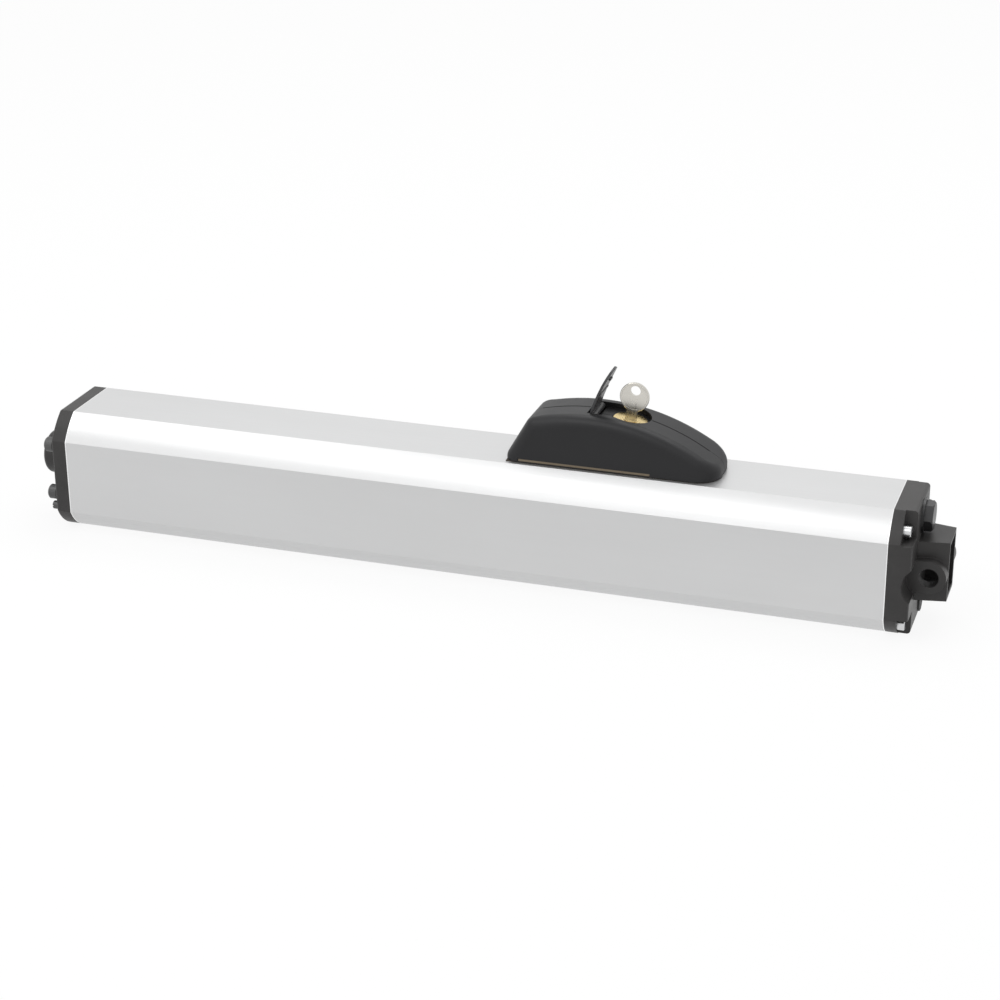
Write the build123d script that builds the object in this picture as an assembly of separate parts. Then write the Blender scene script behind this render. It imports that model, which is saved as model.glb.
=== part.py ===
from build123d import *
import math
import os

# Hydraulic swing gate opener, in millimetres.
# +X runs from the rod end (front) to the pin end (rear), +Z up, the resting face is at z = 0.

# Clearances
RUNNING = 0.05
THREAD_GAP = 0.1
SEAM_GAP = 0.3
LOOSE = 0.4

# Extruded oil tank
PROFILE_LENGTH = 720.0
PROFILE_WIDTH = 103.0
PROFILE_HEIGHT = 107.0
FLAT_WIDTH = 63.0
TOP_FACET_DROP = 22.0
BOTTOM_FACET_RISE = 19.0
TOP_FACET_BULGE = 1.5
BOTTOM_FACET_BULGE = 2.5
PROFILE_WALL = 4.0
SCREW_PORT_RADIUS = 5.5
TOP_PORT_Y = 36.0
TOP_PORT_DROP = 16.0
BOTTOM_PORT_Y = 37.0
BOTTOM_PORT_RISE = 11.0
PORT_SCREW_RADIUS = 3.0

# Front cap and rod gland
FRONT_CAP_THICKNESS = 13.5
CAP_EDGE_RADIUS = 2.0
GLAND_RADIUS = 19.4
GLAND_LENGTH = 28.5
GLAND_RIM_RADIUS = 4.0
WIPER_LENGTH = 5.0
BUSH_LENGTH = 12.0
ROD_SEAL_LENGTH = 8.0
GLAND_SEAT_RADIUS = 14.0
TUBE_SEAT_DEPTH = 6.0
SEAL_WIDTH = 2.2
SEAL_INSET = 1.4
SEAL_DEPTH = 1.5
VENT_Y = -43.0
VENT_Z = 20.6
VENT_HEAD_RADIUS = 3.7
VENT_HEAD_LENGTH = 7.0
VENT_SHANK_RADIUS = 2.5
VENT_SHANK_LENGTH = 10.0

# Tie bolts between the front cap and the valve block
TIE_Y = 38.0
TIE_Z = 22.5
TIE_RADIUS = 4.0
TIE_HEAD_RADIUS = 6.5
TIE_HEAD_LENGTH = 8.0
TIE_PAD_RADIUS = 7.2
TIE_PAD_LENGTH = 4.0
TIE_THREAD_LENGTH = 20.0
HEX_SOCKET_FLATS = 6.0
HEX_SOCKET_DEPTH = 4.5

# Cylinder, piston and rod
CYLINDER_BORE_RADIUS = 20.0
CYLINDER_WALL = 5.0
DRIVE_ROOM = 275.0
ROD_RADIUS = 10.0
ROD_PROUD = 2.0
ROD_SPIGOT_RADIUS = 6.0
ROD_THREAD_RADIUS = 5.1
ROD_THREAD_DEPTH = 22.0
PISTON_LENGTH = 28.0
PISTON_NUT_LENGTH = 8.0
PISTON_NUT_FLATS = 19.0
PISTON_REST_GAP = 15.0
PISTON_SEAL_WIDTH = 4.0
PISTON_SEAL_DEPTH = 3.0

# Valve block
BLOCK_LENGTH = 90.0
BLOCK_HALF_WIDTH = 44.0
BLOCK_BOTTOM = 20.0
BLOCK_TOP = 83.0
TOWER_HALF_WIDTH = 24.0
BLOCK_GASKET = 1.0
BLOCK_SCREW_X = (7.0, 70.0)
BLOCK_SCREW_Y = 18.0
BLOCK_SCREW_RADIUS = 2.5
BLOCK_SCREW_HEAD_RADIUS = 4.5
BLOCK_SCREW_HEAD = 3.0
BLOCK_SCREW_DEPTH = 18.0
PIPE_RADIUS = 4.0
PIPE_BORE_RADIUS = 2.7
PIPE_RISE = 36.5
STRAINER_ROOM = 3.25
STRAINER_WALL = 1.0
STRAINER_LENGTH = 45.0
STRAINER_SPIGOT_RADIUS = 5.0
STRAINER_SPIGOT_LENGTH = 8.0
STRAINER_WINDOWS = 6

# Bypass valves
BYPASS_X = 15.0
BYPASS_Y = 12.0
BYPASS_RADIUS = 4.0
BYPASS_PROUD = 5.0
BYPASS_LENGTH = 30.0
BYPASS_SLOT = 1.2
BYPASS_SLOT_DEPTH = 1.5
RELIEF_SPRING_LENGTH = 14.0
RELIEF_SPRING_RADIUS = 2.8
RELIEF_WIRE_RADIUS = 0.5
RELIEF_TURNS = 6
RELIEF_BALL_RADIUS = 3.0

# Gear pump
PUMP_LENGTH = 26.0
PUMP_COVER = 6.0
PUMP_RADIUS = 42.0
GEAR_WIDTH = 14.0
GEAR_TEETH = 12
GEAR_MODULE = 2.0
GEAR_ADDENDUM = 1.6
GEAR_DEDENDUM = 2.0
GEAR_BACKLASH = 0.3
PRESSURE_ANGLE = 25.0
GEAR_SIDE_GAP = 0.1
PUMP_SHAFT_RADIUS = 5.0
PUMP_PORT_Y = 9.0
PUMP_PORT_RADIUS = 3.0

# Electric motor
MOTOR_RADIUS = 42.0
FRONT_SHIELD = 14.0
REAR_SHIELD = 12.0
STATOR_LENGTH = 80.0
WINDING_OVERHANG = 9.0
WINDING_INNER_RADIUS = 25.5
WINDING_OUTER_RADIUS = 35.0
SLOT_COUNT = 12
SLOT_WIDTH = 6.0
SLOT_OUTER_RADIUS = 33.0
AIR_GAP = 0.4
ROTOR_RADIUS = 23.0
ROTOR_BORE_RADIUS = 8.0
BEARING_OUTER_RADIUS = 13.0
BEARING_WIDTH = 8.0
BEARING_RACE = 2.2
BEARING_BALL_RADIUS = 2.3
BEARING_BALLS = 8
MOTOR_BOLT_OFFSET = 26.5
MOTOR_BOLT_RADIUS = 2.5
MOTOR_BOLT_HEAD_RADIUS = 4.25
MOTOR_BOLT_HEAD = 5.0
MOTOR_BOLT_GRIP = 10.0
LEAD_RADIUS = 3.0
LEAD_EXIT_DROP = 27.5

# Rear cap
REAR_CAP_THICKNESS = 19.0
REAR_EDGE_RADIUS = 3.0
NOTCH_DEPTH = 9.5
NOTCH_MARGIN = 0.8
CAP_SCREW_HEAD_RADIUS = 5.0
CAP_SCREW_HEAD = 6.0
CAP_SCREW_LENGTH = 24.0
CAP_SOCKET_FLATS = 5.0
CAP_SOCKET_DEPTH = 3.0
SOCKET_DROP = 27.5
SOCKET_TOP_GAP = 0.5
SOCKET_ROOT_HALF = 21.5
SOCKET_MOUTH_HALF = 16.5
SOCKET_LENGTH = 25.0
SOCKET_WALL = 3.0
SOCKET_FLOOR_GAP = 0.5
PIN_BORE_RADIUS = 8.0
PIN_SETBACK = 11.0
PIN_DROP = 4.0
PIN_LUG_HALF = 28.0
LUG_RELIEF_RADIUS = 18.0
FILLER_DROP = 15.5
FILLER_FLATS = 22.0
FILLER_HEAD = 7.0
FILLER_SHANK_RADIUS = 8.0
FILLER_SHANK = 15.0
FILLER_WASHER_RADIUS = 14.0
FILLER_WASHER = 2.0
INLET_Y = 12.0
INLET_Z = 11.5
INLET_RADIUS = 7.0
GROMMET_LIP_RADIUS = 9.5
GROMMET_LIP = 1.5
GROMMET_BODY = 7.0
GROMMET_SKIN = 2.5

# Release cover, placed from the lock
LOCK_FROM_BLOCK = 51.0
LOCK_TILT = 9.0
ARC_RADIUS = 183.0
PEAK_FROM_LOCK = -29.0
COVER_PEAK = 45.5
COVER_HALF_WIDTH = 28.5
COVER_FRONT = -100.0
COVER_FRONT_FOOT = 5.0
COVER_NOSE_RUN = 16.0
COVER_NOSE_RISE = 28.0
COVER_REAR = 79.7
COVER_REAR_CORNER = 20.0
COVER_FRONT_CORNER = 10.0
COVER_EDGE_RADIUS = 10.0
COVER_WALL = 3.0
COVER_GASKET = 0.8
GASKET_INSET = 1.0
GASKET_WIDTH = 3.0
POCKET_DEPTH = 5.0
POCKET_FLOOR = 4.0
POCKET_HALF_WIDTH = 15.0
POCKET_END_RADIUS = 17.5
POCKET_WALL = 2.5
BASE_PLATE_FRONT = -88.0
BASE_PLATE_REAR = 24.0
BASE_PLATE_LIFT = 1.5
BASE_PLATE_THICKNESS = 2.0
BASE_PLATE_RECESS = 0.5
BASE_PAD_RADIUS = 6.0
COVER_SCREW_X = (-74.0, 54.0)
COVER_SCREW_Z = (18.0, 12.0)
COVER_SCREW_RADIUS = 2.0
COVER_SCREW_HEAD_RADIUS = 3.8
COVER_SCREW_HEAD = 3.0
COVER_SCREW_SEAT = 14.0
COVER_SCREW_REACH = 16.0
COVER_BOSS_RADIUS = 6.0

# Flap over the lock
HINGE_FROM_LOCK = -28.5
HINGE_DEPTH = 3.3
HINGE_BARREL_RADIUS = 2.8
HINGE_GROOVE_RADIUS = 4.3
HINGE_PIN_RADIUS = 1.0
HINGE_WALL_GAP = 4.5
FLAP_TAIL = 2.0
FLAP_REACH = 42.0
FLAP_THICKNESS = 2.0
FLAP_SIDE_GAP = 0.5
FLAP_OPEN_ANGLE = 73.5
FLAP_RIB_REACH = 19.7
FLAP_HOOK_REACH = 31.5
FLAP_RIB_HEIGHT = 0.7
FLAP_HOOK_HEIGHT = 1.6

# Lock, key and release valve, measured along the lock axis from the lock's face
FLANGE_RADIUS = 14.5
FLANGE_THICKNESS = 1.5
LOCK_BARREL_RADIUS = 10.5
LOCK_BARREL_END = 24.0
LOCK_NUT_START = 4.9
LOCK_NUT_THICKNESS = 5.0
LOCK_NUT_FLATS = 25.0
PLUG_RADIUS = 6.2
PLUG_PROUD = 0.3
PLUG_COLLAR_RADIUS = 8.0
PLUG_END = 27.0
TANG_THICKNESS = 2.8
TANG_WIDTH = 8.0
TANG_END = 33.5
KEY_THICKNESS = 2.3
KEY_BLADE_WIDTH = 9.5
KEY_INSERTION = 21.0
KEY_BOW_RADIUS = 12.4
KEY_BOW_HEIGHT = 20.3
KEY_HOLE_RADIUS = 4.25
KEY_HOLE_RISE = 5.6
KEY_GROOVE = 0.5
KEYWAY_GAP = 0.2
BUSH_START = 36.0
BUSH_END = 60.0
BUSH_RADIUS = 11.0
SPINDLE_START = 30.0
SPINDLE_END = 56.0
SPINDLE_RADIUS = 5.0
SPINDLE_SLOT_DEPTH = 4.5
NEEDLE_RADIUS = 2.9
NEEDLE_START = 46.5
NEEDLE_STRAIGHT_END = 72.0
NEEDLE_TIP = 76.0
NEEDLE_LIFT = 2.0
SEAT_RADIUS = 1.5
SEAT_CHANNEL_END = 92.0

# Derived places
AXIS_Z = PROFILE_HEIGHT / 2
X_FRONT = -PROFILE_LENGTH / 2
X_REAR = PROFILE_LENGTH / 2
X_FRONT_FACE = X_FRONT - FRONT_CAP_THICKNESS
X_GLAND_END = X_FRONT_FACE - GLAND_LENGTH
X_WIPER_END = X_GLAND_END + WIPER_LENGTH
X_BUSH_END = X_WIPER_END + BUSH_LENGTH
X_ROD_SEAL_END = X_BUSH_END + ROD_SEAL_LENGTH
X_TUBE_FRONT = X_FRONT - TUBE_SEAT_DEPTH
X_BLOCK = X_REAR - DRIVE_ROOM
X_TUBE_REAR = X_BLOCK + TUBE_SEAT_DEPTH
X_BLOCK_REAR = X_BLOCK + BLOCK_LENGTH
X_PISTON_REAR = X_BLOCK - PISTON_REST_GAP + PISTON_NUT_LENGTH
X_PISTON_FRONT = X_PISTON_REAR - PISTON_LENGTH
X_CHAMBER = X_BLOCK_REAR + PUMP_LENGTH - GEAR_WIDTH
X_PUMP_REAR = X_BLOCK_REAR + PUMP_LENGTH
X_SHIELD = X_PUMP_REAR + PUMP_COVER
X_SHIELD_REAR = X_SHIELD + FRONT_SHIELD
X_STATOR = X_SHIELD_REAR + WINDING_OVERHANG
X_STATOR_REAR = X_STATOR + STATOR_LENGTH
X_REAR_SHIELD = X_STATOR_REAR + WINDING_OVERHANG
X_MOTOR_REAR = X_REAR_SHIELD + REAR_SHIELD
X_CAP_FACE = X_REAR + REAR_CAP_THICKNESS
X_NOTCH = X_CAP_FACE - NOTCH_DEPTH
X_SOCKET_END = X_CAP_FACE + SOCKET_LENGTH
X_PIN = X_CAP_FACE + PIN_SETBACK
PIN_Z = AXIS_Z - PIN_DROP
PIN_LUG_RADIUS = SOCKET_LENGTH - PIN_SETBACK
SOCKET_FLOOR = PIN_SETBACK - PIN_BORE_RADIUS - SOCKET_FLOOR_GAP
SOCKET_BOTTOM = AXIS_Z - SOCKET_DROP
CYLINDER_RADIUS = CYLINDER_BORE_RADIUS + CYLINDER_WALL
TOP_PORT_Z = PROFILE_HEIGHT - TOP_PORT_DROP
FILLER_Z = PROFILE_HEIGHT - FILLER_DROP
SOCKET_TOP = FILLER_Z - FILLER_WASHER_RADIUS - SOCKET_TOP_GAP
STRAINER_Z = (AXIS_Z - CYLINDER_RADIUS + PROFILE_WALL) / 2
STRAINER_RADIUS = (AXIS_Z - CYLINDER_RADIUS - PROFILE_WALL) / 2 - STRAINER_ROOM
LEAD_EXIT_Z = AXIS_Z - LEAD_EXIT_DROP
TANK_ROOF = PROFILE_HEIGHT - PROFILE_WALL
TOWER_TOP = TANK_ROOF - BLOCK_GASKET
PIPE_Z = AXIS_Z + PIPE_RISE
GEAR_PITCH_RADIUS = GEAR_MODULE * GEAR_TEETH / 2
GEAR_TIP_RADIUS = GEAR_PITCH_RADIUS + GEAR_ADDENDUM
DRIVEN_Z = AXIS_Z - 2 * GEAR_PITCH_RADIUS
BORE_IN_STATOR = ROTOR_RADIUS + AIR_GAP
BEARING_PITCH_RADIUS = (PUMP_SHAFT_RADIUS + BEARING_OUTER_RADIUS) / 2
BEARING_STARTS = (X_SHIELD + (FRONT_SHIELD - BEARING_WIDTH) / 2,
                  X_REAR_SHIELD + (REAR_SHIELD - BEARING_WIDTH) / 2)
LOCK_X = X_BLOCK + LOCK_FROM_BLOCK
PEAK_X = LOCK_X + PEAK_FROM_LOCK
ARC_Z = PROFILE_HEIGHT + COVER_PEAK - ARC_RADIUS
COVER_BASE_Z = PROFILE_HEIGHT + COVER_GASKET
POCKET_RADIUS = ARC_RADIUS - POCKET_DEPTH
TUB_RADIUS = POCKET_RADIUS - POCKET_FLOOR
LOCK_Z = ARC_Z + math.sqrt(POCKET_RADIUS ** 2 - (LOCK_X - PEAK_X) ** 2)
LOCK_AXIS = Pos(LOCK_X, 0, LOCK_Z) * Rot(0, LOCK_TILT, 0)
HINGE_X = LOCK_X + HINGE_FROM_LOCK
HINGE_Z = ARC_Z + math.sqrt((ARC_RADIUS - HINGE_DEPTH) ** 2 - (HINGE_X - PEAK_X) ** 2)
FLAP_HALF_WIDTH = POCKET_HALF_WIDTH - FLAP_SIDE_GAP
BASE_PLATE_Z = PROFILE_HEIGHT + BASE_PLATE_LIFT
BASE_PLATE_TOP = BASE_PLATE_Z + BASE_PLATE_THICKNESS
BLOCK_SCREWS = [(X_BLOCK + dx, y) for dx in BLOCK_SCREW_X for y in (-BLOCK_SCREW_Y, BLOCK_SCREW_Y)]
TIE_PLACES = [(y, AXIS_Z + z) for y in (-TIE_Y, TIE_Y) for z in (-TIE_Z, TIE_Z)]
MOTOR_BOLT_PLACES = [(y, AXIS_Z + z) for y in (-MOTOR_BOLT_OFFSET, MOTOR_BOLT_OFFSET)
                     for z in (-MOTOR_BOLT_OFFSET, MOTOR_BOLT_OFFSET)]
PORT_PLACES = [(-TOP_PORT_Y, TOP_PORT_Z), (TOP_PORT_Y, TOP_PORT_Z),
               (-BOTTOM_PORT_Y, BOTTOM_PORT_RISE), (BOTTOM_PORT_Y, BOTTOM_PORT_RISE)]
LONG = 2 * PROFILE_LENGTH


# Basic solids
def bar(radius, x_start, x_end, y=0.0, z=AXIS_Z):
    """Round bar along X."""
    return Pos((x_start + x_end) / 2, y, z) * Rot(0, 90, 0) * Cylinder(radius, x_end - x_start)


def ring(outer, inner, x_start, x_end, y=0.0, z=AXIS_Z):
    """Round tube along X."""
    return bar(outer, x_start, x_end, y, z) - bar(inner, x_start - 1, x_end + 1, y, z)


def cross_bar(radius, y_start, y_end, x, z):
    """Round bar along Y."""
    return Pos(x, (y_start + y_end) / 2, z) * Rot(90, 0, 0) * Cylinder(radius, y_end - y_start)


def post(radius, z_start, z_end, x, y):
    """Round bar along Z."""
    return Pos(x, y, (z_start + z_end) / 2) * Cylinder(radius, z_end - z_start)


def block(x_start, x_end, y_start, y_end, z_start, z_end):
    """Rectangular block between two corners."""
    centre = Pos((x_start + x_end) / 2, (y_start + y_end) / 2, (z_start + z_end) / 2)
    return centre * Box(x_end - x_start, y_end - y_start, z_end - z_start)


def hexagon(flats, x_start, x_end, y=0.0, z=AXIS_Z):
    """Hexagonal prism along X."""
    outline = Plane.YZ.offset(x_start) * Pos(y, z) * RegularPolygon(flats / 2, 6, major_radius=False)
    return extrude(outline, amount=x_end - x_start, dir=(1, 0, 0))


def lock_bar(radius, start, end):
    """Round bar on the lock axis between two depths below the lock's face."""
    return LOCK_AXIS * Pos(0, 0, -(start + end) / 2) * Cylinder(radius, end - start)


def joined(solids):
    """One compound that holds several separate solids."""
    return Compound(children=list(solids))


def bulged(start, end, bulge):
    """Shallow arc between two points of the tank's section, pushed out from the axis."""
    middle = (start + end) / 2
    across = Vector(end.Y - start.Y, start.X - end.X).normalized()
    outward = across if across.dot(middle - Vector(0, AXIS_Z)) > 0 else -across
    return ThreePointArc(start, middle + outward * bulge, end)


def section(inset=0.0):
    """Section of the tank, an octagon with four softly bulged corners, in Y and Z."""
    flat = FLAT_WIDTH / 2
    side = PROFILE_WIDTH / 2
    upper = PROFILE_HEIGHT - TOP_FACET_DROP
    corners = [Vector(-flat, 0), Vector(flat, 0), Vector(side, BOTTOM_FACET_RISE), Vector(side, upper),
               Vector(flat, PROFILE_HEIGHT), Vector(-flat, PROFILE_HEIGHT), Vector(-side, upper),
               Vector(-side, BOTTOM_FACET_RISE)]
    bulges = {1: BOTTOM_FACET_BULGE, 3: TOP_FACET_BULGE, 5: TOP_FACET_BULGE, 7: BOTTOM_FACET_BULGE}
    edges = []
    for index, start in enumerate(corners):
        end = corners[(index + 1) % len(corners)]
        edges.append(bulged(start, end, bulges[index]) if index in bulges else Line(start, end))
    face = make_face(edges)
    return offset(face, amount=-inset, kind=Kind.INTERSECTION) if inset else face


def prism(x_start, x_end, inset=0.0):
    """The tank's section drawn out along X."""
    return extrude(Plane.YZ.offset(x_start) * section(inset), amount=x_end - x_start, dir=(1, 0, 0))


def end_seal(x_start, x_end):
    """Ring that follows the edge of the tank's section."""
    return prism(x_start, x_end, SEAL_INSET) - prism(x_start - 1, x_end + 1, SEAL_INSET + SEAL_WIDTH)


# Tank and front end
def body_profile():
    tank = prism(X_FRONT, X_REAR) - prism(X_FRONT - 1, X_REAR + 1, PROFILE_WALL)
    for y, z in PORT_PLACES:
        tank += bar(SCREW_PORT_RADIUS, X_FRONT, X_REAR, y, z) & prism(X_FRONT, X_REAR)
    for y, z in PORT_PLACES:
        tank -= bar(PORT_SCREW_RADIUS + THREAD_GAP, X_FRONT - 1, X_REAR + 1, y, z)
    tank -= lock_bar(BUSH_RADIUS + LOOSE, BUSH_START - 10, BUSH_END)
    for side in (-1, 1):
        tank -= post(BYPASS_RADIUS + THREAD_GAP, AXIS_Z, LONG, X_BLOCK + BYPASS_X, side * BYPASS_Y)
    for x, y in BLOCK_SCREWS:
        tank -= post(BLOCK_SCREW_RADIUS + THREAD_GAP, AXIS_Z, LONG, x, y)
    return tank


def front_cap():
    plate = prism(X_FRONT_FACE, X_FRONT)
    rim = plate.faces().sort_by(Axis.X)[0].edges()
    plate = fillet(rim, CAP_EDGE_RADIUS)
    boss = bar(GLAND_RADIUS, X_GLAND_END, X_FRONT)
    boss = fillet(boss.edges().sort_by(Axis.X)[0], GLAND_RIM_RADIUS)
    cap = plate + boss
    for y, z in TIE_PLACES:
        cap += bar(TIE_PAD_RADIUS, X_FRONT_FACE - TIE_PAD_LENGTH, X_FRONT, y, z)
    cap -= bar(GLAND_SEAT_RADIUS, X_GLAND_END - 1, X_ROD_SEAL_END)
    cap -= bar(ROD_RADIUS + LOOSE, X_GLAND_END, X_FRONT + 1)
    cap -= bar(CYLINDER_RADIUS + RUNNING, X_TUBE_FRONT, X_FRONT + 1)
    cap -= bar(PIPE_RADIUS + RUNNING, X_TUBE_FRONT, X_FRONT + 1, 0, PIPE_Z)
    passage_x = X_TUBE_FRONT - PIPE_BORE_RADIUS
    cap -= bar(PIPE_BORE_RADIUS, passage_x, X_FRONT, 0, PIPE_Z)
    cap -= post(PIPE_BORE_RADIUS / 2, AXIS_Z + ROD_RADIUS, PIPE_Z, passage_x, 0)
    for y, z in TIE_PLACES:
        cap -= bar(TIE_RADIUS + LOOSE, X_GLAND_END, X_FRONT + 1, y, z)
    cap -= bar(VENT_SHANK_RADIUS + THREAD_GAP, X_FRONT_FACE - 1, X_FRONT_FACE + VENT_SHANK_LENGTH, VENT_Y, VENT_Z)
    return cap - end_seal(X_FRONT - SEAL_DEPTH, X_FRONT)


def rod_wiper():
    wiper = ring(GLAND_SEAT_RADIUS, ROD_RADIUS + RUNNING, X_GLAND_END, X_WIPER_END)
    lip = wiper.faces().sort_by(Axis.X)[0].edges().sort_by(SortBy.RADIUS)[0]
    return chamfer(lip, 1.5)


def rod_guide_bush():
    return ring(GLAND_SEAT_RADIUS, ROD_RADIUS + RUNNING, X_WIPER_END, X_BUSH_END)


def rod_seal():
    return ring(GLAND_SEAT_RADIUS, ROD_RADIUS + RUNNING, X_BUSH_END, X_ROD_SEAL_END)


def vent_screw():
    head = bar(VENT_HEAD_RADIUS, X_FRONT_FACE - VENT_HEAD_LENGTH, X_FRONT_FACE, VENT_Y, VENT_Z)
    head = fillet(head.edges().sort_by(Axis.X)[0], 0.8)
    slot = block(X_FRONT_FACE - VENT_HEAD_LENGTH - 1, X_FRONT_FACE - VENT_HEAD_LENGTH + 1.5,
                 VENT_Y - LONG, VENT_Y + LONG, VENT_Z - 0.6, VENT_Z + 0.6)
    shank = bar(VENT_SHANK_RADIUS, X_FRONT_FACE, X_FRONT_FACE + VENT_SHANK_LENGTH - 1, VENT_Y, VENT_Z)
    return head - slot + shank


def tie_bolts():
    seat = X_FRONT_FACE - TIE_PAD_LENGTH
    bolts = []
    for y, z in TIE_PLACES:
        head = bar(TIE_HEAD_RADIUS, seat - TIE_HEAD_LENGTH, seat, y, z)
        head = chamfer(head.edges().sort_by(Axis.X)[0], 1.0)
        head -= hexagon(HEX_SOCKET_FLATS, seat - TIE_HEAD_LENGTH - 1, seat - TIE_HEAD_LENGTH + HEX_SOCKET_DEPTH, y, z)
        bolts.append(head + bar(TIE_RADIUS, seat, X_BLOCK + TIE_THREAD_LENGTH, y, z))
    return joined(bolts)


# Cylinder and rod
def cylinder_tube():
    return ring(CYLINDER_RADIUS, CYLINDER_BORE_RADIUS, X_TUBE_FRONT, X_TUBE_REAR)


def piston_rod():
    tip = X_GLAND_END - ROD_PROUD
    rod = bar(ROD_RADIUS, tip, X_PISTON_FRONT)
    rod = chamfer(rod.edges().sort_by(Axis.X)[0], 1.0)
    rod += bar(ROD_SPIGOT_RADIUS, X_PISTON_FRONT, X_PISTON_REAR + PISTON_NUT_LENGTH + 1)
    return rod - bar(ROD_THREAD_RADIUS, tip - 1, tip + ROD_THREAD_DEPTH)


def piston():
    body = ring(CYLINDER_BORE_RADIUS - RUNNING, ROD_SPIGOT_RADIUS, X_PISTON_FRONT, X_PISTON_REAR)
    for start in seal_starts():
        body -= ring(CYLINDER_RADIUS, CYLINDER_BORE_RADIUS - PISTON_SEAL_DEPTH, start, start + PISTON_SEAL_WIDTH)
    return body


def seal_starts():
    """Start of each of the piston's two seal grooves."""
    quarter = PISTON_LENGTH / 4
    return [X_PISTON_FRONT + quarter - PISTON_SEAL_WIDTH / 2, X_PISTON_REAR - quarter - PISTON_SEAL_WIDTH / 2]


def piston_seals():
    return joined(ring(CYLINDER_BORE_RADIUS - RUNNING / 2, CYLINDER_BORE_RADIUS - PISTON_SEAL_DEPTH,
                       start, start + PISTON_SEAL_WIDTH) for start in seal_starts())


def piston_nut():
    nut = hexagon(PISTON_NUT_FLATS, X_PISTON_REAR, X_PISTON_REAR + PISTON_NUT_LENGTH)
    return nut - bar(ROD_SPIGOT_RADIUS, X_PISTON_REAR - 1, X_PISTON_REAR + PISTON_NUT_LENGTH + 1)


# Valve block and its parts
def valve_block():
    body = block(X_BLOCK, X_BLOCK_REAR, -BLOCK_HALF_WIDTH, BLOCK_HALF_WIDTH, BLOCK_BOTTOM, BLOCK_TOP)
    body += block(X_BLOCK, X_BLOCK_REAR, -TOWER_HALF_WIDTH, TOWER_HALF_WIDTH, PROFILE_WALL, TOWER_TOP)
    body -= bar(CYLINDER_RADIUS + RUNNING, X_BLOCK - 1, X_TUBE_REAR)
    body -= bar(ROD_SPIGOT_RADIUS + LOOSE, X_BLOCK, X_TUBE_REAR + BYPASS_X)
    body -= bar(PIPE_RADIUS + RUNNING, X_BLOCK - 1, X_TUBE_REAR, 0, PIPE_Z)
    body -= bar(STRAINER_SPIGOT_RADIUS + RUNNING, X_BLOCK - 1, X_BLOCK + STRAINER_SPIGOT_LENGTH, 0, STRAINER_Z)
    for y, z in TIE_PLACES:
        body -= bar(TIE_RADIUS + THREAD_GAP, X_BLOCK - 1, X_BLOCK + TIE_THREAD_LENGTH, y, z)
    for y, z in MOTOR_BOLT_PLACES:
        body -= bar(MOTOR_BOLT_RADIUS + THREAD_GAP, X_BLOCK_REAR - MOTOR_BOLT_GRIP, X_BLOCK_REAR + 1, y, z)
    for x, y in BLOCK_SCREWS:
        body -= post(BLOCK_SCREW_RADIUS + THREAD_GAP, TOWER_TOP - BLOCK_SCREW_DEPTH, TOWER_TOP + 1, x, y)
    for side in (-1, 1):
        bore = BYPASS_RADIUS + THREAD_GAP
        body -= post(bore, relief_seat_z(), TOWER_TOP + 1, X_BLOCK + BYPASS_X, side * BYPASS_Y)
        body -= bar(PUMP_PORT_RADIUS, X_BLOCK_REAR - TIE_THREAD_LENGTH, X_BLOCK_REAR + 1,
                    side * PUMP_PORT_Y, (AXIS_Z + DRIVEN_Z) / 2)
    body -= lock_bar(BUSH_RADIUS + THREAD_GAP, BUSH_START - 10, BUSH_END)
    body -= lock_bar(NEEDLE_RADIUS + RUNNING, BUSH_END - 1, NEEDLE_TIP)
    return body - lock_bar(SEAT_RADIUS, NEEDLE_TIP - 1, SEAT_CHANNEL_END)


def bypass_top_z():
    return PROFILE_HEIGHT + BYPASS_PROUD


def relief_seat_z():
    """Floor of the bypass valve's bore, where its ball sits."""
    return bypass_top_z() - BYPASS_LENGTH - RELIEF_SPRING_LENGTH - 2 * RELIEF_BALL_RADIUS


def bypass_screw(side):
    x = X_BLOCK + BYPASS_X
    y = side * BYPASS_Y
    top = bypass_top_z()
    screw = post(BYPASS_RADIUS, top - BYPASS_LENGTH, top, x, y)
    screw = chamfer(screw.edges().sort_by(Axis.Z)[-1], 0.5)
    return screw - block(x - LONG, x + LONG, y - BYPASS_SLOT / 2, y + BYPASS_SLOT / 2, top - BYPASS_SLOT_DEPTH, top + 1)


def relief_springs():
    pitch = (RELIEF_SPRING_LENGTH - 2 * RELIEF_WIRE_RADIUS) / RELIEF_TURNS
    coil = Helix(pitch, pitch * RELIEF_TURNS, RELIEF_SPRING_RADIUS)
    wire = Plane(coil @ 0, z_dir=coil % 0) * Circle(RELIEF_WIRE_RADIUS)
    spring = sweep(wire, path=coil)
    base = relief_seat_z() + 2 * RELIEF_BALL_RADIUS + RELIEF_WIRE_RADIUS
    return joined(Pos(X_BLOCK + BYPASS_X, side * BYPASS_Y, base) * spring for side in (-1, 1))


def relief_balls():
    return joined(Pos(X_BLOCK + BYPASS_X, side * BYPASS_Y, relief_seat_z() + RELIEF_BALL_RADIUS)
                  * Sphere(RELIEF_BALL_RADIUS) for side in (-1, 1))


def block_gasket():
    sheet = block(X_BLOCK, X_BLOCK_REAR, -TOWER_HALF_WIDTH, TOWER_HALF_WIDTH, TOWER_TOP, TANK_ROOF)
    sheet -= lock_bar(BUSH_RADIUS + LOOSE, BUSH_START, BUSH_END)
    for side in (-1, 1):
        sheet -= post(BYPASS_RADIUS + THREAD_GAP, AXIS_Z, LONG, X_BLOCK + BYPASS_X, side * BYPASS_Y)
    for x, y in BLOCK_SCREWS:
        sheet -= post(BLOCK_SCREW_RADIUS + THREAD_GAP, AXIS_Z, LONG, x, y)
    return sheet


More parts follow.
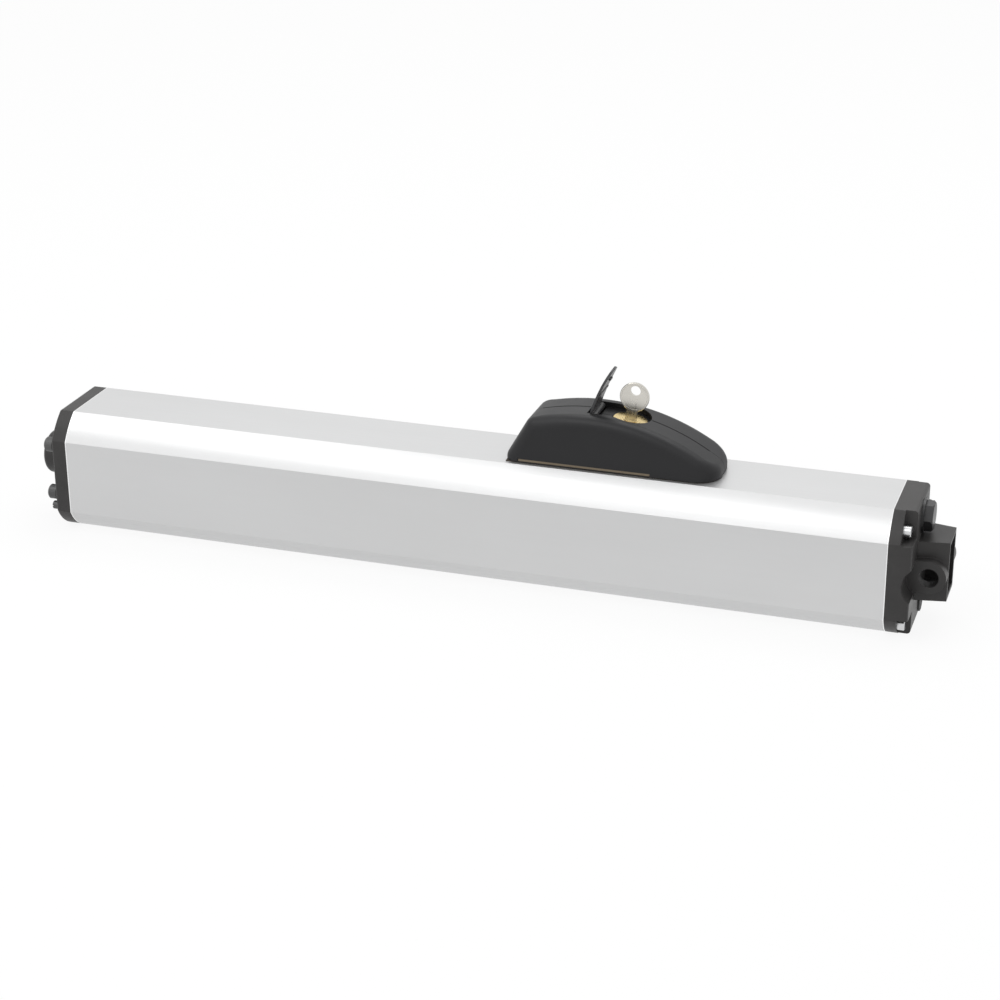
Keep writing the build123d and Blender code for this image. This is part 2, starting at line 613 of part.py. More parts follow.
def block_screws():
    screws = []
    for x, y in BLOCK_SCREWS:
        head = post(BLOCK_SCREW_HEAD_RADIUS, BASE_PLATE_TOP, BASE_PLATE_TOP + BLOCK_SCREW_HEAD, x, y)
        head = fillet(head.edges().sort_by(Axis.Z)[-1], 1.0)
        screws.append(head + post(BLOCK_SCREW_RADIUS, TOWER_TOP - BLOCK_SCREW_DEPTH + 1, BASE_PLATE_TOP, x, y))
    return joined(screws)


def pressure_pipe():
    return ring(PIPE_RADIUS, PIPE_BORE_RADIUS, X_TUBE_FRONT, X_TUBE_REAR, 0, PIPE_Z)


def suction_strainer():
    start = X_BLOCK - STRAINER_LENGTH
    basket = bar(STRAINER_RADIUS, start, X_BLOCK, 0, STRAINER_Z)
    inner = STRAINER_RADIUS - STRAINER_WALL
    basket -= bar(inner, start + STRAINER_WALL, X_BLOCK - STRAINER_WALL, 0, STRAINER_Z)
    rows = 3
    for row in range(rows):
        middle = start + STRAINER_LENGTH * (row + 0.5) / rows
        half = STRAINER_LENGTH / rows / 3
        for index in range(STRAINER_WINDOWS // 2):
            turn = Pos(middle, 0, STRAINER_Z) * Rot(360 / STRAINER_WINDOWS * index, 0, 0)
            basket -= turn * Box(2 * half, 4, 3 * STRAINER_RADIUS)
    basket += bar(STRAINER_SPIGOT_RADIUS, X_BLOCK, X_BLOCK + STRAINER_SPIGOT_LENGTH - 1, 0, STRAINER_Z)
    return basket - bar(STRAINER_SPIGOT_RADIUS / 2, X_BLOCK - 3, X_BLOCK + STRAINER_SPIGOT_LENGTH, 0, STRAINER_Z)


# Gear pump
def gear_outline(phase):
    """Involute gear outline about the origin; one tooth points at the phase angle, in degrees."""
    base = GEAR_PITCH_RADIUS * math.cos(math.radians(PRESSURE_ANGLE))
    root = GEAR_PITCH_RADIUS - GEAR_DEDENDUM
    half_tooth = (math.pi * GEAR_MODULE / 2 - GEAR_BACKLASH) / 2 / GEAR_PITCH_RADIUS

    def spread(radius):
        """Angle between the base and a point of the involute at this radius."""
        angle = math.acos(base / radius)
        return math.tan(angle) - angle

    at_pitch = spread(GEAR_PITCH_RADIUS)
    radii = [base + (GEAR_TIP_RADIUS - base) * step / 4 for step in range(5)]
    pitch = 2 * math.pi / GEAR_TEETH
    edges = []
    for tooth in range(GEAR_TEETH):
        middle = math.radians(phase) + tooth * pitch

        def point(radius, angle):
            return (radius * math.cos(angle), radius * math.sin(angle))

        offsets = [half_tooth + at_pitch - spread(radius) for radius in radii]
        rise = [point(radius, middle - turn) for radius, turn in zip(radii, offsets)]
        fall = [point(radius, middle + turn) for radius, turn in zip(radii, offsets)]
        fall.reverse()
        foot = offsets[0]
        edges.append(Line(point(root, middle - foot), rise[0]))
        edges.append(Spline(*rise))
        edges.append(ThreePointArc(rise[-1], point(GEAR_TIP_RADIUS, middle), fall[0]))
        edges.append(Spline(*fall))
        edges.append(Line(fall[-1], point(root, middle + foot)))
        edges.append(ThreePointArc(point(root, middle + foot), point(root, middle + pitch / 2),
                                   point(root, middle + pitch - foot)))
    return make_face(edges)


def gear(phase, z):
    outline = Plane.YZ.offset(X_CHAMBER + GEAR_SIDE_GAP) * Pos(0, z) * gear_outline(phase)
    return extrude(outline, amount=GEAR_WIDTH - 2 * GEAR_SIDE_GAP, dir=(1, 0, 0))


def drive_gear():
    return gear(-90, AXIS_Z) - bar(PUMP_SHAFT_RADIUS, X_CHAMBER - 1, X_PUMP_REAR + 1)


def driven_gear():
    shaft = bar(PUMP_SHAFT_RADIUS, X_BLOCK_REAR + 2, X_SHIELD - 1, 0, DRIVEN_Z)
    return gear(90 + 180 / GEAR_TEETH, DRIVEN_Z) + shaft


def pump_body():
    body = bar(PUMP_RADIUS, X_BLOCK_REAR, X_PUMP_REAR)
    for z in (AXIS_Z, DRIVEN_Z):
        body -= bar(GEAR_TIP_RADIUS + RUNNING, X_CHAMBER, X_PUMP_REAR + 1, 0, z)
        body -= bar(PUMP_SHAFT_RADIUS + RUNNING, X_BLOCK_REAR + 1, X_PUMP_REAR, 0, z)
    for side in (-1, 1):
        body -= bar(PUMP_PORT_RADIUS, X_BLOCK_REAR - 1, X_PUMP_REAR - 1, side * PUMP_PORT_Y, (AXIS_Z + DRIVEN_Z) / 2)
    return body - motor_bolt_holes(X_BLOCK_REAR, X_PUMP_REAR)


def motor_bolt_holes(x_start, x_end):
    """Through holes of the four long motor bolts."""
    return joined(bar(MOTOR_BOLT_RADIUS + THREAD_GAP, x_start - 1, x_end + 1, y, z) for y, z in MOTOR_BOLT_PLACES)


def pump_cover():
    plate = bar(PUMP_RADIUS, X_PUMP_REAR, X_SHIELD)
    plate -= bar(PUMP_SHAFT_RADIUS + RUNNING, X_PUMP_REAR - 1, X_SHIELD + 1)
    plate -= bar(PUMP_SHAFT_RADIUS + RUNNING, X_PUMP_REAR - 1, X_SHIELD - 1 + RUNNING, 0, DRIVEN_Z)
    return plate - motor_bolt_holes(X_PUMP_REAR, X_SHIELD)


# Motor
def rotor_shaft():
    shaft = bar(PUMP_SHAFT_RADIUS, X_BLOCK_REAR + 2, X_MOTOR_REAR - 1)
    return shaft + bar(ROTOR_BORE_RADIUS, X_SHIELD_REAR + 2, X_REAR_SHIELD - 2)


def rotor_core():
    return ring(ROTOR_RADIUS, ROTOR_BORE_RADIUS, X_STATOR, X_STATOR_REAR)


def race_groove(start):
    """Ball track, a torus about the shaft."""
    return Pos(start + BEARING_WIDTH / 2, 0, AXIS_Z) * Rot(0, 90, 0) * Torus(BEARING_PITCH_RADIUS,
                                                                              BEARING_BALL_RADIUS + RUNNING)


def bearing_inner_rings():
    return joined(ring(PUMP_SHAFT_RADIUS + BEARING_RACE, PUMP_SHAFT_RADIUS, start, start + BEARING_WIDTH)
                  - race_groove(start) for start in BEARING_STARTS)


def bearing_outer_rings():
    return joined(ring(BEARING_OUTER_RADIUS, BEARING_OUTER_RADIUS - BEARING_RACE, start, start + BEARING_WIDTH)
                  - race_groove(start) for start in BEARING_STARTS)


def bearing_balls():
    balls = []
    for start in BEARING_STARTS:
        for index in range(BEARING_BALLS):
            angle = 2 * math.pi * index / BEARING_BALLS
            y = BEARING_PITCH_RADIUS * math.cos(angle)
            z = AXIS_Z + BEARING_PITCH_RADIUS * math.sin(angle)
            balls.append(Pos(start + BEARING_WIDTH / 2, y, z) * Sphere(BEARING_BALL_RADIUS))
    return joined(balls)


def shield(x_start, x_end, bearing_start):
    """Motor end shield with its bearing seat."""
    plate = bar(MOTOR_RADIUS, x_start, x_end)
    plate -= bar(BEARING_OUTER_RADIUS, bearing_start, bearing_start + BEARING_WIDTH)
    plate -= bar(ROTOR_BORE_RADIUS + LOOSE, x_start - 1, x_end + 1)
    return plate - motor_bolt_holes(x_start, x_end)


def motor_front_shield():
    return shield(X_SHIELD, X_SHIELD_REAR, BEARING_STARTS[0])


def motor_rear_shield():
    plate = shield(X_REAR_SHIELD, X_MOTOR_REAR, BEARING_STARTS[1])
    return plate - bar(LEAD_RADIUS + THREAD_GAP, X_REAR_SHIELD - 1, X_MOTOR_REAR + 1, INLET_Y, LEAD_EXIT_Z)


def slot_bars(width, inner, outer, x_start, x_end):
    """Radial bars that fill the stator's slots."""
    bars = []
    for index in range(SLOT_COUNT):
        turn = Pos((x_start + x_end) / 2, 0, AXIS_Z) * Rot(360 / SLOT_COUNT * index, 0, 0)
        bars.append(turn * Pos(0, 0, (inner + outer) / 2) * Box(x_end - x_start, width, outer - inner))
    return bars


def stator_core():
    core = ring(MOTOR_RADIUS, BORE_IN_STATOR, X_STATOR, X_STATOR_REAR)
    for slot in slot_bars(SLOT_WIDTH, BORE_IN_STATOR + 1, SLOT_OUTER_RADIUS, X_STATOR - 1, X_STATOR_REAR + 1):
        core -= slot
    return core - motor_bolt_holes(X_STATOR, X_STATOR_REAR)


def stator_windings():
    coils = ring(WINDING_OUTER_RADIUS - 1, WINDING_INNER_RADIUS, X_SHIELD_REAR + 1, X_STATOR)
    coils += ring(WINDING_OUTER_RADIUS - 1, WINDING_INNER_RADIUS, X_STATOR_REAR, X_REAR_SHIELD - 1)
    for copper in slot_bars(SLOT_WIDTH - LOOSE, WINDING_INNER_RADIUS + 1, SLOT_OUTER_RADIUS - LOOSE,
                            X_STATOR - 1, X_STATOR_REAR + 1):
        coils += copper
    return coils


def motor_bolts():
    bolts = []
    for y, z in MOTOR_BOLT_PLACES:
        head = bar(MOTOR_BOLT_HEAD_RADIUS, X_MOTOR_REAR, X_MOTOR_REAR + MOTOR_BOLT_HEAD, y, z)
        bolts.append(head + bar(MOTOR_BOLT_RADIUS, X_BLOCK_REAR - MOTOR_BOLT_GRIP + 1, X_MOTOR_REAR, y, z))
    return joined(bolts)


def motor_lead():
    drop = LEAD_EXIT_Z - INLET_Z
    bend_start = X_MOTOR_REAR + MOTOR_BOLT_HEAD
    points = [(X_REAR_SHIELD, INLET_Y, LEAD_EXIT_Z), (bend_start, INLET_Y, LEAD_EXIT_Z),
              (bend_start + drop, INLET_Y, INLET_Z), (X_CAP_FACE - GROMMET_SKIN - 1, INLET_Y, INLET_Z)]
    path = FilletPolyline(*points, radius=3 * LEAD_RADIUS)
    return sweep(Plane(path @ 0, z_dir=path % 0) * Circle(LEAD_RADIUS), path=path)


# Rear cap
def tapered_box(root_half, mouth_half, x_start, x_end, z_start, z_end):
    """Box along X whose sides draw in towards its far end."""
    outline = make_face(Polyline((x_start, -root_half), (x_end, -mouth_half), (x_end, mouth_half),
                                 (x_start, root_half), close=True))
    return extrude(Pos(0, 0, z_start) * outline, amount=z_end - z_start)


def corner_notch(side, upper):
    """Corner pocket that opens through the cap's facet, for one cap screw."""
    inner_y = FLAT_WIDTH / 2 - NOTCH_MARGIN
    outer_y = PROFILE_WIDTH
    edge_z = PROFILE_HEIGHT - TOP_FACET_DROP - NOTCH_MARGIN if upper else BOTTOM_FACET_RISE + NOTCH_MARGIN
    far_z = LONG if upper else -LONG
    low, high = sorted((edge_z, far_z))
    near, far = sorted((side * inner_y, side * outer_y))
    return block(X_NOTCH, X_CAP_FACE + 1, near, far, low, high)


def rear_cap():
    plate = prism(X_REAR, X_CAP_FACE)
    plate = fillet(plate.faces().sort_by(Axis.X)[-1].edges(), REAR_EDGE_RADIUS)
    for side in (-1, 1):
        for upper in (True, False):
            plate -= corner_notch(side, upper)
    plate -= cross_bar(LUG_RELIEF_RADIUS, PIN_LUG_HALF, PROFILE_WIDTH, X_PIN, PIN_Z)
    plate -= cross_bar(LUG_RELIEF_RADIUS, -PROFILE_WIDTH, -PIN_LUG_HALF, X_PIN, PIN_Z)
    cap = plate + tapered_box(SOCKET_ROOT_HALF, SOCKET_MOUTH_HALF, X_CAP_FACE - 1, X_SOCKET_END,
                              SOCKET_BOTTOM, SOCKET_TOP)
    cap += cross_bar(PIN_LUG_RADIUS, -PIN_LUG_HALF, PIN_LUG_HALF, X_PIN, PIN_Z)
    cap += block(X_CAP_FACE - 1, X_PIN, -PIN_LUG_HALF, PIN_LUG_HALF, PIN_Z - PIN_LUG_RADIUS, PIN_Z + PIN_LUG_RADIUS)
    cap -= tapered_box(SOCKET_ROOT_HALF - SOCKET_WALL, SOCKET_MOUTH_HALF - SOCKET_WALL, X_CAP_FACE + SOCKET_FLOOR,
                       X_SOCKET_END + 1, SOCKET_BOTTOM + SOCKET_WALL, SOCKET_TOP - SOCKET_WALL)
    cap -= cross_bar(PIN_BORE_RADIUS, -PROFILE_WIDTH, PROFILE_WIDTH, X_PIN, PIN_Z)
    for y, z in PORT_PLACES:
        cap -= bar(PORT_SCREW_RADIUS + LOOSE, X_REAR - 1, X_CAP_FACE, y, z)
    cap -= bar(FILLER_SHANK_RADIUS + THREAD_GAP, X_REAR - 1, X_CAP_FACE + 1, 0, FILLER_Z)
    cap -= bar(INLET_RADIUS, X_REAR - 1, X_CAP_FACE + 1, INLET_Y, INLET_Z)
    return cap - end_seal(X_REAR, X_REAR + SEAL_DEPTH)


def rear_cap_screws():
    screws = []
    for y, z in PORT_PLACES:
        head = bar(CAP_SCREW_HEAD_RADIUS, X_NOTCH, X_NOTCH + CAP_SCREW_HEAD, y, z)
        head = chamfer(head.edges().sort_by(Axis.X)[-1], 0.6)
        head -= hexagon(CAP_SOCKET_FLATS, X_NOTCH + CAP_SCREW_HEAD - CAP_SOCKET_DEPTH, X_CAP_FACE, y, z)
        screws.append(head + bar(PORT_SCREW_RADIUS, X_NOTCH - CAP_SCREW_LENGTH, X_NOTCH, y, z))
    return joined(screws)


def filler_washer():
    return ring(FILLER_WASHER_RADIUS, FILLER_SHANK_RADIUS + THREAD_GAP, X_CAP_FACE,
                X_CAP_FACE + FILLER_WASHER, 0, FILLER_Z)


def filler_plug():
    seat = X_CAP_FACE + FILLER_WASHER
    head = hexagon(FILLER_FLATS, seat, seat + FILLER_HEAD, 0, FILLER_Z)
    corner_radius = FILLER_FLATS / 2 / math.cos(math.pi / 6)
    crown = bar(corner_radius, seat, seat + FILLER_HEAD, 0, FILLER_Z)
    crown = chamfer(crown.edges().sort_by(Axis.X)[-1], 1.6)
    return (head & crown) + bar(FILLER_SHANK_RADIUS, seat - FILLER_SHANK, seat, 0, FILLER_Z)


def cable_grommet():
    body = bar(INLET_RADIUS, X_CAP_FACE - GROMMET_BODY, X_CAP_FACE, INLET_Y, INLET_Z)
    lip = bar(GROMMET_LIP_RADIUS, X_CAP_FACE, X_CAP_FACE + GROMMET_LIP, INLET_Y, INLET_Z)
    lip = fillet(lip.edges().sort_by(Axis.X)[-1], 0.8)
    return body + lip - bar(LEAD_RADIUS + RUNNING, X_CAP_FACE - LONG, X_CAP_FACE - GROMMET_SKIN + GROMMET_LIP,
                            INLET_Y, INLET_Z)


# Release cover
def arch(radius):
    """Round body across the cover, about the centre of its long curve."""
    return cross_bar(radius, -PROFILE_WIDTH, PROFILE_WIDTH, PEAK_X, ARC_Z)


def cover_form(inset=0.0):
    """Outer form of the release cover, or the hollow inside it."""
    half_width = COVER_HALF_WIDTH - inset
    front = LOCK_X + COVER_FRONT + inset
    rear = LOCK_X + COVER_REAR - inset
    slope = COVER_NOSE_RUN / COVER_NOSE_RISE
    foot = PROFILE_HEIGHT + COVER_FRONT_FOOT
    high = 2 * COVER_NOSE_RISE
    side = make_face(Polyline((front, PROFILE_HEIGHT - inset), (rear, PROFILE_HEIGHT - inset), (rear, foot + high),
                              (front + slope * high, foot + high), (front, foot), close=True))
    form = extrude(Plane.XZ.offset(-half_width) * side, amount=2 * half_width, dir=(0, -1, 0))
    form &= arch(ARC_RADIUS - inset)
    uprights = form.edges().filter_by(Axis.Z)
    rear_uprights = [edge for edge in uprights if edge.center().X > LOCK_X]
    form = fillet(rear_uprights, COVER_REAR_CORNER - inset)
    form = fillet(nose_sides(form), COVER_FRONT_CORNER - inset)
    return fillet(top_rim(form, PROFILE_HEIGHT - inset), COVER_EDGE_RADIUS - inset)


def nose_sides(form):
    """The upright and sloping edges on both sides of the cover's nose."""
    sides = []
    for edge in form.edges():
        box = edge.bounding_box()
        beside = edge.geom_type == GeomType.LINE and edge.center().X < LOCK_X and box.size.Y < 1e-3
        if beside and box.size.Z > 1:
            sides.append(edge)
    return sides


def top_rim(form, foot):
    """The cover's upper edges, those that end above its foot."""
    rim = []
    for edge in form.edges():
        box = edge.bounding_box()
        flat = abs(box.max.Z - foot) < 1e-3
        upright = box.size.X < 1e-3 and box.size.Y < 1e-3
        if not flat and not upright:
            rim.append(edge)
    return rim


def pocket_outline(margin):
    """Plan of the pocket around the lock: a straight part with a round end."""
    start = HINGE_X - HINGE_WALL_GAP - margin
    straight = Pos((start + LOCK_X) / 2, 0) * Rectangle(LOCK_X - start, 2 * (POCKET_HALF_WIDTH + margin))
    return straight + Pos(LOCK_X, 0) * Circle(POCKET_END_RADIUS + margin)


def pocket_column(margin):
    return extrude(Pos(0, 0, PROFILE_HEIGHT) * pocket_outline(margin), amount=2 * COVER_PEAK)


def cover_shell():
    """Both cover halves before they are parted at the seam."""
    form = cover_form()
    shell = form - cover_form(COVER_WALL)
    tub = (form & pocket_column(POCKET_WALL)) - arch(TUB_RADIUS)
    shell += tub
    for dx, dz in zip(COVER_SCREW_X, COVER_SCREW_Z):
        boss = cross_bar(COVER_BOSS_RADIUS, -COVER_HALF_WIDTH, COVER_HALF_WIDTH, LOCK_X + dx, PROFILE_HEIGHT + dz)
        shell += boss & form
    pocket = pocket_column(0) - arch(POCKET_RADIUS)
    pocket += cross_bar(HINGE_GROOVE_RADIUS, -POCKET_HALF_WIDTH, POCKET_HALF_WIDTH, HINGE_X, HINGE_Z)
    pocket += lock_bar(FLANGE_RADIUS + SEAM_GAP, -POCKET_DEPTH, FLANGE_THICKNESS)
    pocket += lock_bar(LOCK_BARREL_RADIUS + THREAD_GAP, 0, LOCK_BARREL_END)
    shell -= pocket
    shell -= cross_bar(HINGE_PIN_RADIUS, -POCKET_HALF_WIDTH - POCKET_WALL, POCKET_HALF_WIDTH + POCKET_WALL,
                       HINGE_X, HINGE_Z)
    shell -= block(LOCK_X + 2 * COVER_FRONT, LOCK_X + 2 * COVER_REAR, -LONG, LONG, -LONG, COVER_BASE_Z)
    shell -= block(LOCK_X + BASE_PLATE_FRONT - SEAM_GAP, LOCK_X + BASE_PLATE_REAR + SEAM_GAP,
                   -COVER_HALF_WIDTH - 1, COVER_HALF_WIDTH + 1, BASE_PLATE_Z - THREAD_GAP, BASE_PLATE_TOP + THREAD_GAP)
    return shell


def cover_half(side):
    """Front (-1) or rear (+1) half of the cover, with its screw holes."""
    near, far = sorted((side * SEAM_GAP / 2, side * PROFILE_WIDTH))
    half = cover_shell() & block(LOCK_X + 2 * COVER_FRONT, LOCK_X + 2 * COVER_REAR, near, far, 0, LONG)
    for dx, dz in zip(COVER_SCREW_X, COVER_SCREW_Z):
        x = LOCK_X + dx
        z = PROFILE_HEIGHT + dz
        half -= cross_bar(COVER_SCREW_RADIUS + THREAD_GAP, -COVER_SCREW_REACH - 1, COVER_HALF_WIDTH + 1, x, z)
        half -= cross_bar(COVER_SCREW_HEAD_RADIUS + LOOSE, COVER_SCREW_SEAT, COVER_HALF_WIDTH + 1, x, z)
    return half


def cover_screws():
    screws = []
    for dx, dz in zip(COVER_SCREW_X, COVER_SCREW_Z):
        x = LOCK_X + dx
        z = PROFILE_HEIGHT + dz
        head = cross_bar(COVER_SCREW_HEAD_RADIUS, COVER_SCREW_SEAT, COVER_SCREW_SEAT + COVER_SCREW_HEAD, x, z)
        screws.append(head + cross_bar(COVER_SCREW_RADIUS, -COVER_SCREW_REACH, COVER_SCREW_SEAT, x, z))
    return joined(screws)


def cover_base_plate():
    half = COVER_HALF_WIDTH - BASE_PLATE_RECESS
    plate = block(LOCK_X + BASE_PLATE_FRONT, LOCK_X + BASE_PLATE_REAR, -half, half, BASE_PLATE_Z, BASE_PLATE_TOP)
    for x, y in BLOCK_SCREWS:
        plate += post(BASE_PAD_RADIUS, PROFILE_HEIGHT, BASE_PLATE_Z, x, y)
    for x, y in BLOCK_SCREWS:
        plate -= post(BLOCK_SCREW_RADIUS + LOOSE, PROFILE_HEIGHT - 1, BASE_PLATE_TOP + 1, x, y)
    for side in (-1, 1):
        plate -= post(BYPASS_RADIUS + LOOSE, PROFILE_HEIGHT - 1, BASE_PLATE_TOP + 1, X_BLOCK + BYPASS_X, side * BYPASS_Y)
    return plate - lock_bar(BUSH_RADIUS + LOOSE, SPINDLE_START, BUSH_END)


def cover_gasket():
    outline = block(LOCK_X + COVER_FRONT + GASKET_INSET, LOCK_X + COVER_REAR - GASKET_INSET,
                    -COVER_HALF_WIDTH + GASKET_INSET, COVER_HALF_WIDTH - GASKET_INSET, PROFILE_HEIGHT, COVER_BASE_Z)
    uprights = outline.edges().filter_by(Axis.Z)
    outline = fillet([edge for edge in uprights if edge.center().X > LOCK_X], COVER_REAR_CORNER - GASKET_INSET)
    hollow = GASKET_INSET + GASKET_WIDTH
    inner = block(LOCK_X + COVER_FRONT + hollow, LOCK_X + COVER_REAR - hollow, -COVER_HALF_WIDTH + hollow,
                  COVER_HALF_WIDTH - hollow, 0, LONG)
    inner_uprights = [edge for edge in inner.edges().filter_by(Axis.Z) if edge.center().X > LOCK_X]
    return outline - fillet(inner_uprights, COVER_REAR_CORNER - hollow)


# Flap
def opened(shape):
    """Turns a shape from the flap's closed place to the open one it rests in."""
    about_hinge = Pos(HINGE_X, 0, HINGE_Z) * Rot(0, -FLAP_OPEN_ANGLE, 0) * Pos(-HINGE_X, 0, -HINGE_Z)
    return about_hinge * shape


def flap():
    round_x = HINGE_X + FLAP_REACH - FLAP_HALF_WIDTH
    tail_x = HINGE_X - FLAP_TAIL
    tongue = Pos((tail_x + round_x) / 2, 0) * Rectangle(round_x - tail_x, 2 * FLAP_HALF_WIDTH)
    tongue += Pos(round_x, 0) * Circle(FLAP_HALF_WIDTH)
    column = extrude(Pos(0, 0, PROFILE_HEIGHT) * tongue, amount=2 * COVER_PEAK)
    outer = arch(ARC_RADIUS)
    inner = arch(ARC_RADIUS - FLAP_THICKNESS)
    plate = (column & outer) - inner
    barrel = cross_bar(HINGE_BARREL_RADIUS, -FLAP_HALF_WIDTH, FLAP_HALF_WIDTH, HINGE_X, HINGE_Z) & outer
    lid = plate + barrel
    under = ARC_Z + ARC_RADIUS - FLAP_THICKNESS
    rib_x = HINGE_X + FLAP_RIB_REACH
    rib = block(rib_x - 0.8, rib_x + 0.8, -FLAP_HALF_WIDTH * 0.8, FLAP_HALF_WIDTH * 0.8,
                under - (rib_x - PEAK_X) ** 2 / ARC_RADIUS / 2 - FLAP_RIB_HEIGHT, under) & outer
    hook_x = HINGE_X + FLAP_HOOK_REACH
    hook_top = under - (hook_x - PEAK_X) ** 2 / ARC_RADIUS / 2
    hook = block(hook_x - 0.8, hook_x + 0.8, -3, 3, hook_top - FLAP_HOOK_HEIGHT, hook_top + 0.5)
    lid += rib
    lid += hook
    lid -= cross_bar(HINGE_PIN_RADIUS + RUNNING, -LONG, LONG, HINGE_X, HINGE_Z)
    return opened(lid)


def flap_hinge_pin():
    reach = POCKET_HALF_WIDTH + POCKET_WALL - THREAD_GAP
    return cross_bar(HINGE_PIN_RADIUS, -reach, reach, HINGE_X, HINGE_Z)


# Lock and release valve
def lock_body():
    flange = lock_bar(FLANGE_RADIUS, 0, FLANGE_THICKNESS)
    top = LOCK_AXIS.position
    rim = flange.edges().sort_by(lambda edge: (edge.center() - top).length)[0]
    flange = fillet(rim, 0.5)
    body = flange + lock_bar(LOCK_BARREL_RADIUS, FLANGE_THICKNESS, LOCK_BARREL_END)
    return body - lock_bar(PLUG_RADIUS + RUNNING, -1, LOCK_BARREL_END + 1)


def lock_nut():
    outline = Pos(0, 0, -LOCK_NUT_START - LOCK_NUT_THICKNESS) * RegularPolygon(LOCK_NUT_FLATS / 2, 6,
                                                                              major_radius=False)
    nut = LOCK_AXIS * extrude(outline, amount=LOCK_NUT_THICKNESS)
    return nut - lock_bar(LOCK_BARREL_RADIUS + THREAD_GAP, 0, LOCK_BARREL_END)


def lock_plug():
    plug = lock_bar(PLUG_RADIUS, -PLUG_PROUD, LOCK_BARREL_END + RUNNING)
    plug += lock_bar(PLUG_COLLAR_RADIUS, LOCK_BARREL_END + RUNNING, PLUG_END)
    plug += LOCK_AXIS * Pos(0, 0, -(PLUG_END + TANG_END) / 2) * Box(TANG_WIDTH, TANG_THICKNESS, TANG_END - PLUG_END)
    depth = KEY_INSERTION + 1
    keyway = Pos(0, 0, -depth / 2) * Box(KEY_BLADE_WIDTH + 2 * KEYWAY_GAP, KEY_THICKNESS + 2 * KEYWAY_GAP, depth + 1)
    return plug - LOCK_AXIS * keyway


def key():
    blade_top = KEY_BOW_HEIGHT - KEY_BOW_RADIUS + 2
    blade = Pos(0, 0, (blade_top - KEY_INSERTION) / 2) * Box(KEY_BLADE_WIDTH, KEY_THICKNESS, blade_top + KEY_INSERTION)
    bow = Pos(0, 0, KEY_BOW_HEIGHT) * Rot(90, 0, 0) * Cylinder(KEY_BOW_RADIUS, KEY_THICKNESS)
    bow = chamfer(bow.edges().filter_by(GeomType.CIRCLE), 0.3)
    shape = blade + bow
    shape -= Pos(0, 0, KEY_BOW_HEIGHT + KEY_HOLE_RISE) * Rot(90, 0, 0) * Cylinder(KEY_HOLE_RADIUS, 2 * KEY_THICKNESS)
    for side in (-1, 1):
        groove = Box(1.2, 2 * KEY_GROOVE, 2 * KEY_INSERTION + blade_top)
        shape -= Pos(side * 2.6, -side * KEY_THICKNESS / 2, -KEY_INSERTION / 2) * groove
    cuts = 5
    for index in range(cuts):
        depth = 1.2 + 0.5 * (index * 2 % 3)
        z = -KEY_INSERTION + 3 + (KEY_INSERTION - 6) * index / (cuts - 1)
        notch = Pos(-KEY_BLADE_WIDTH / 2, 0, z) * Rot(0, 45, 0) * Box(1.4 * depth, 2 * KEY_THICKNESS, 1.4 * depth)
        shape -= notch
    return LOCK_AXIS * shape


def release_bush():
    return lock_bar(BUSH_RADIUS, BUSH_START, BUSH_END) - lock_bar(SPINDLE_RADIUS + RUNNING, BUSH_START - 1,
                                                                  BUSH_END + 1)


def release_spindle():
    spindle = lock_bar(SPINDLE_RADIUS, SPINDLE_START, SPINDLE_END)
    slot_end = SPINDLE_START + SPINDLE_SLOT_DEPTH
    slot = Pos(0, 0, -(SPINDLE_START - 1 + slot_end) / 2) * Box(4 * SPINDLE_RADIUS, TANG_THICKNESS + 2 * KEYWAY_GAP,
                                                                SPINDLE_SLOT_DEPTH + 1)
    bore_start = NEEDLE_START - NEEDLE_LIFT - LOOSE
    return spindle - LOCK_AXIS * slot - lock_bar(NEEDLE_RADIUS + RUNNING, bore_start, SPINDLE_END + 1)


def release_needle():
    stem = lock_bar(NEEDLE_RADIUS, NEEDLE_START, NEEDLE_STRAIGHT_END)
    cone = Pos(0, 0, -(NEEDLE_STRAIGHT_END + NEEDLE_TIP) / 2) * Cone(1.0, NEEDLE_RADIUS, NEEDLE_TIP - NEEDLE_STRAIGHT_END)
    return stem + LOCK_AXIS * cone


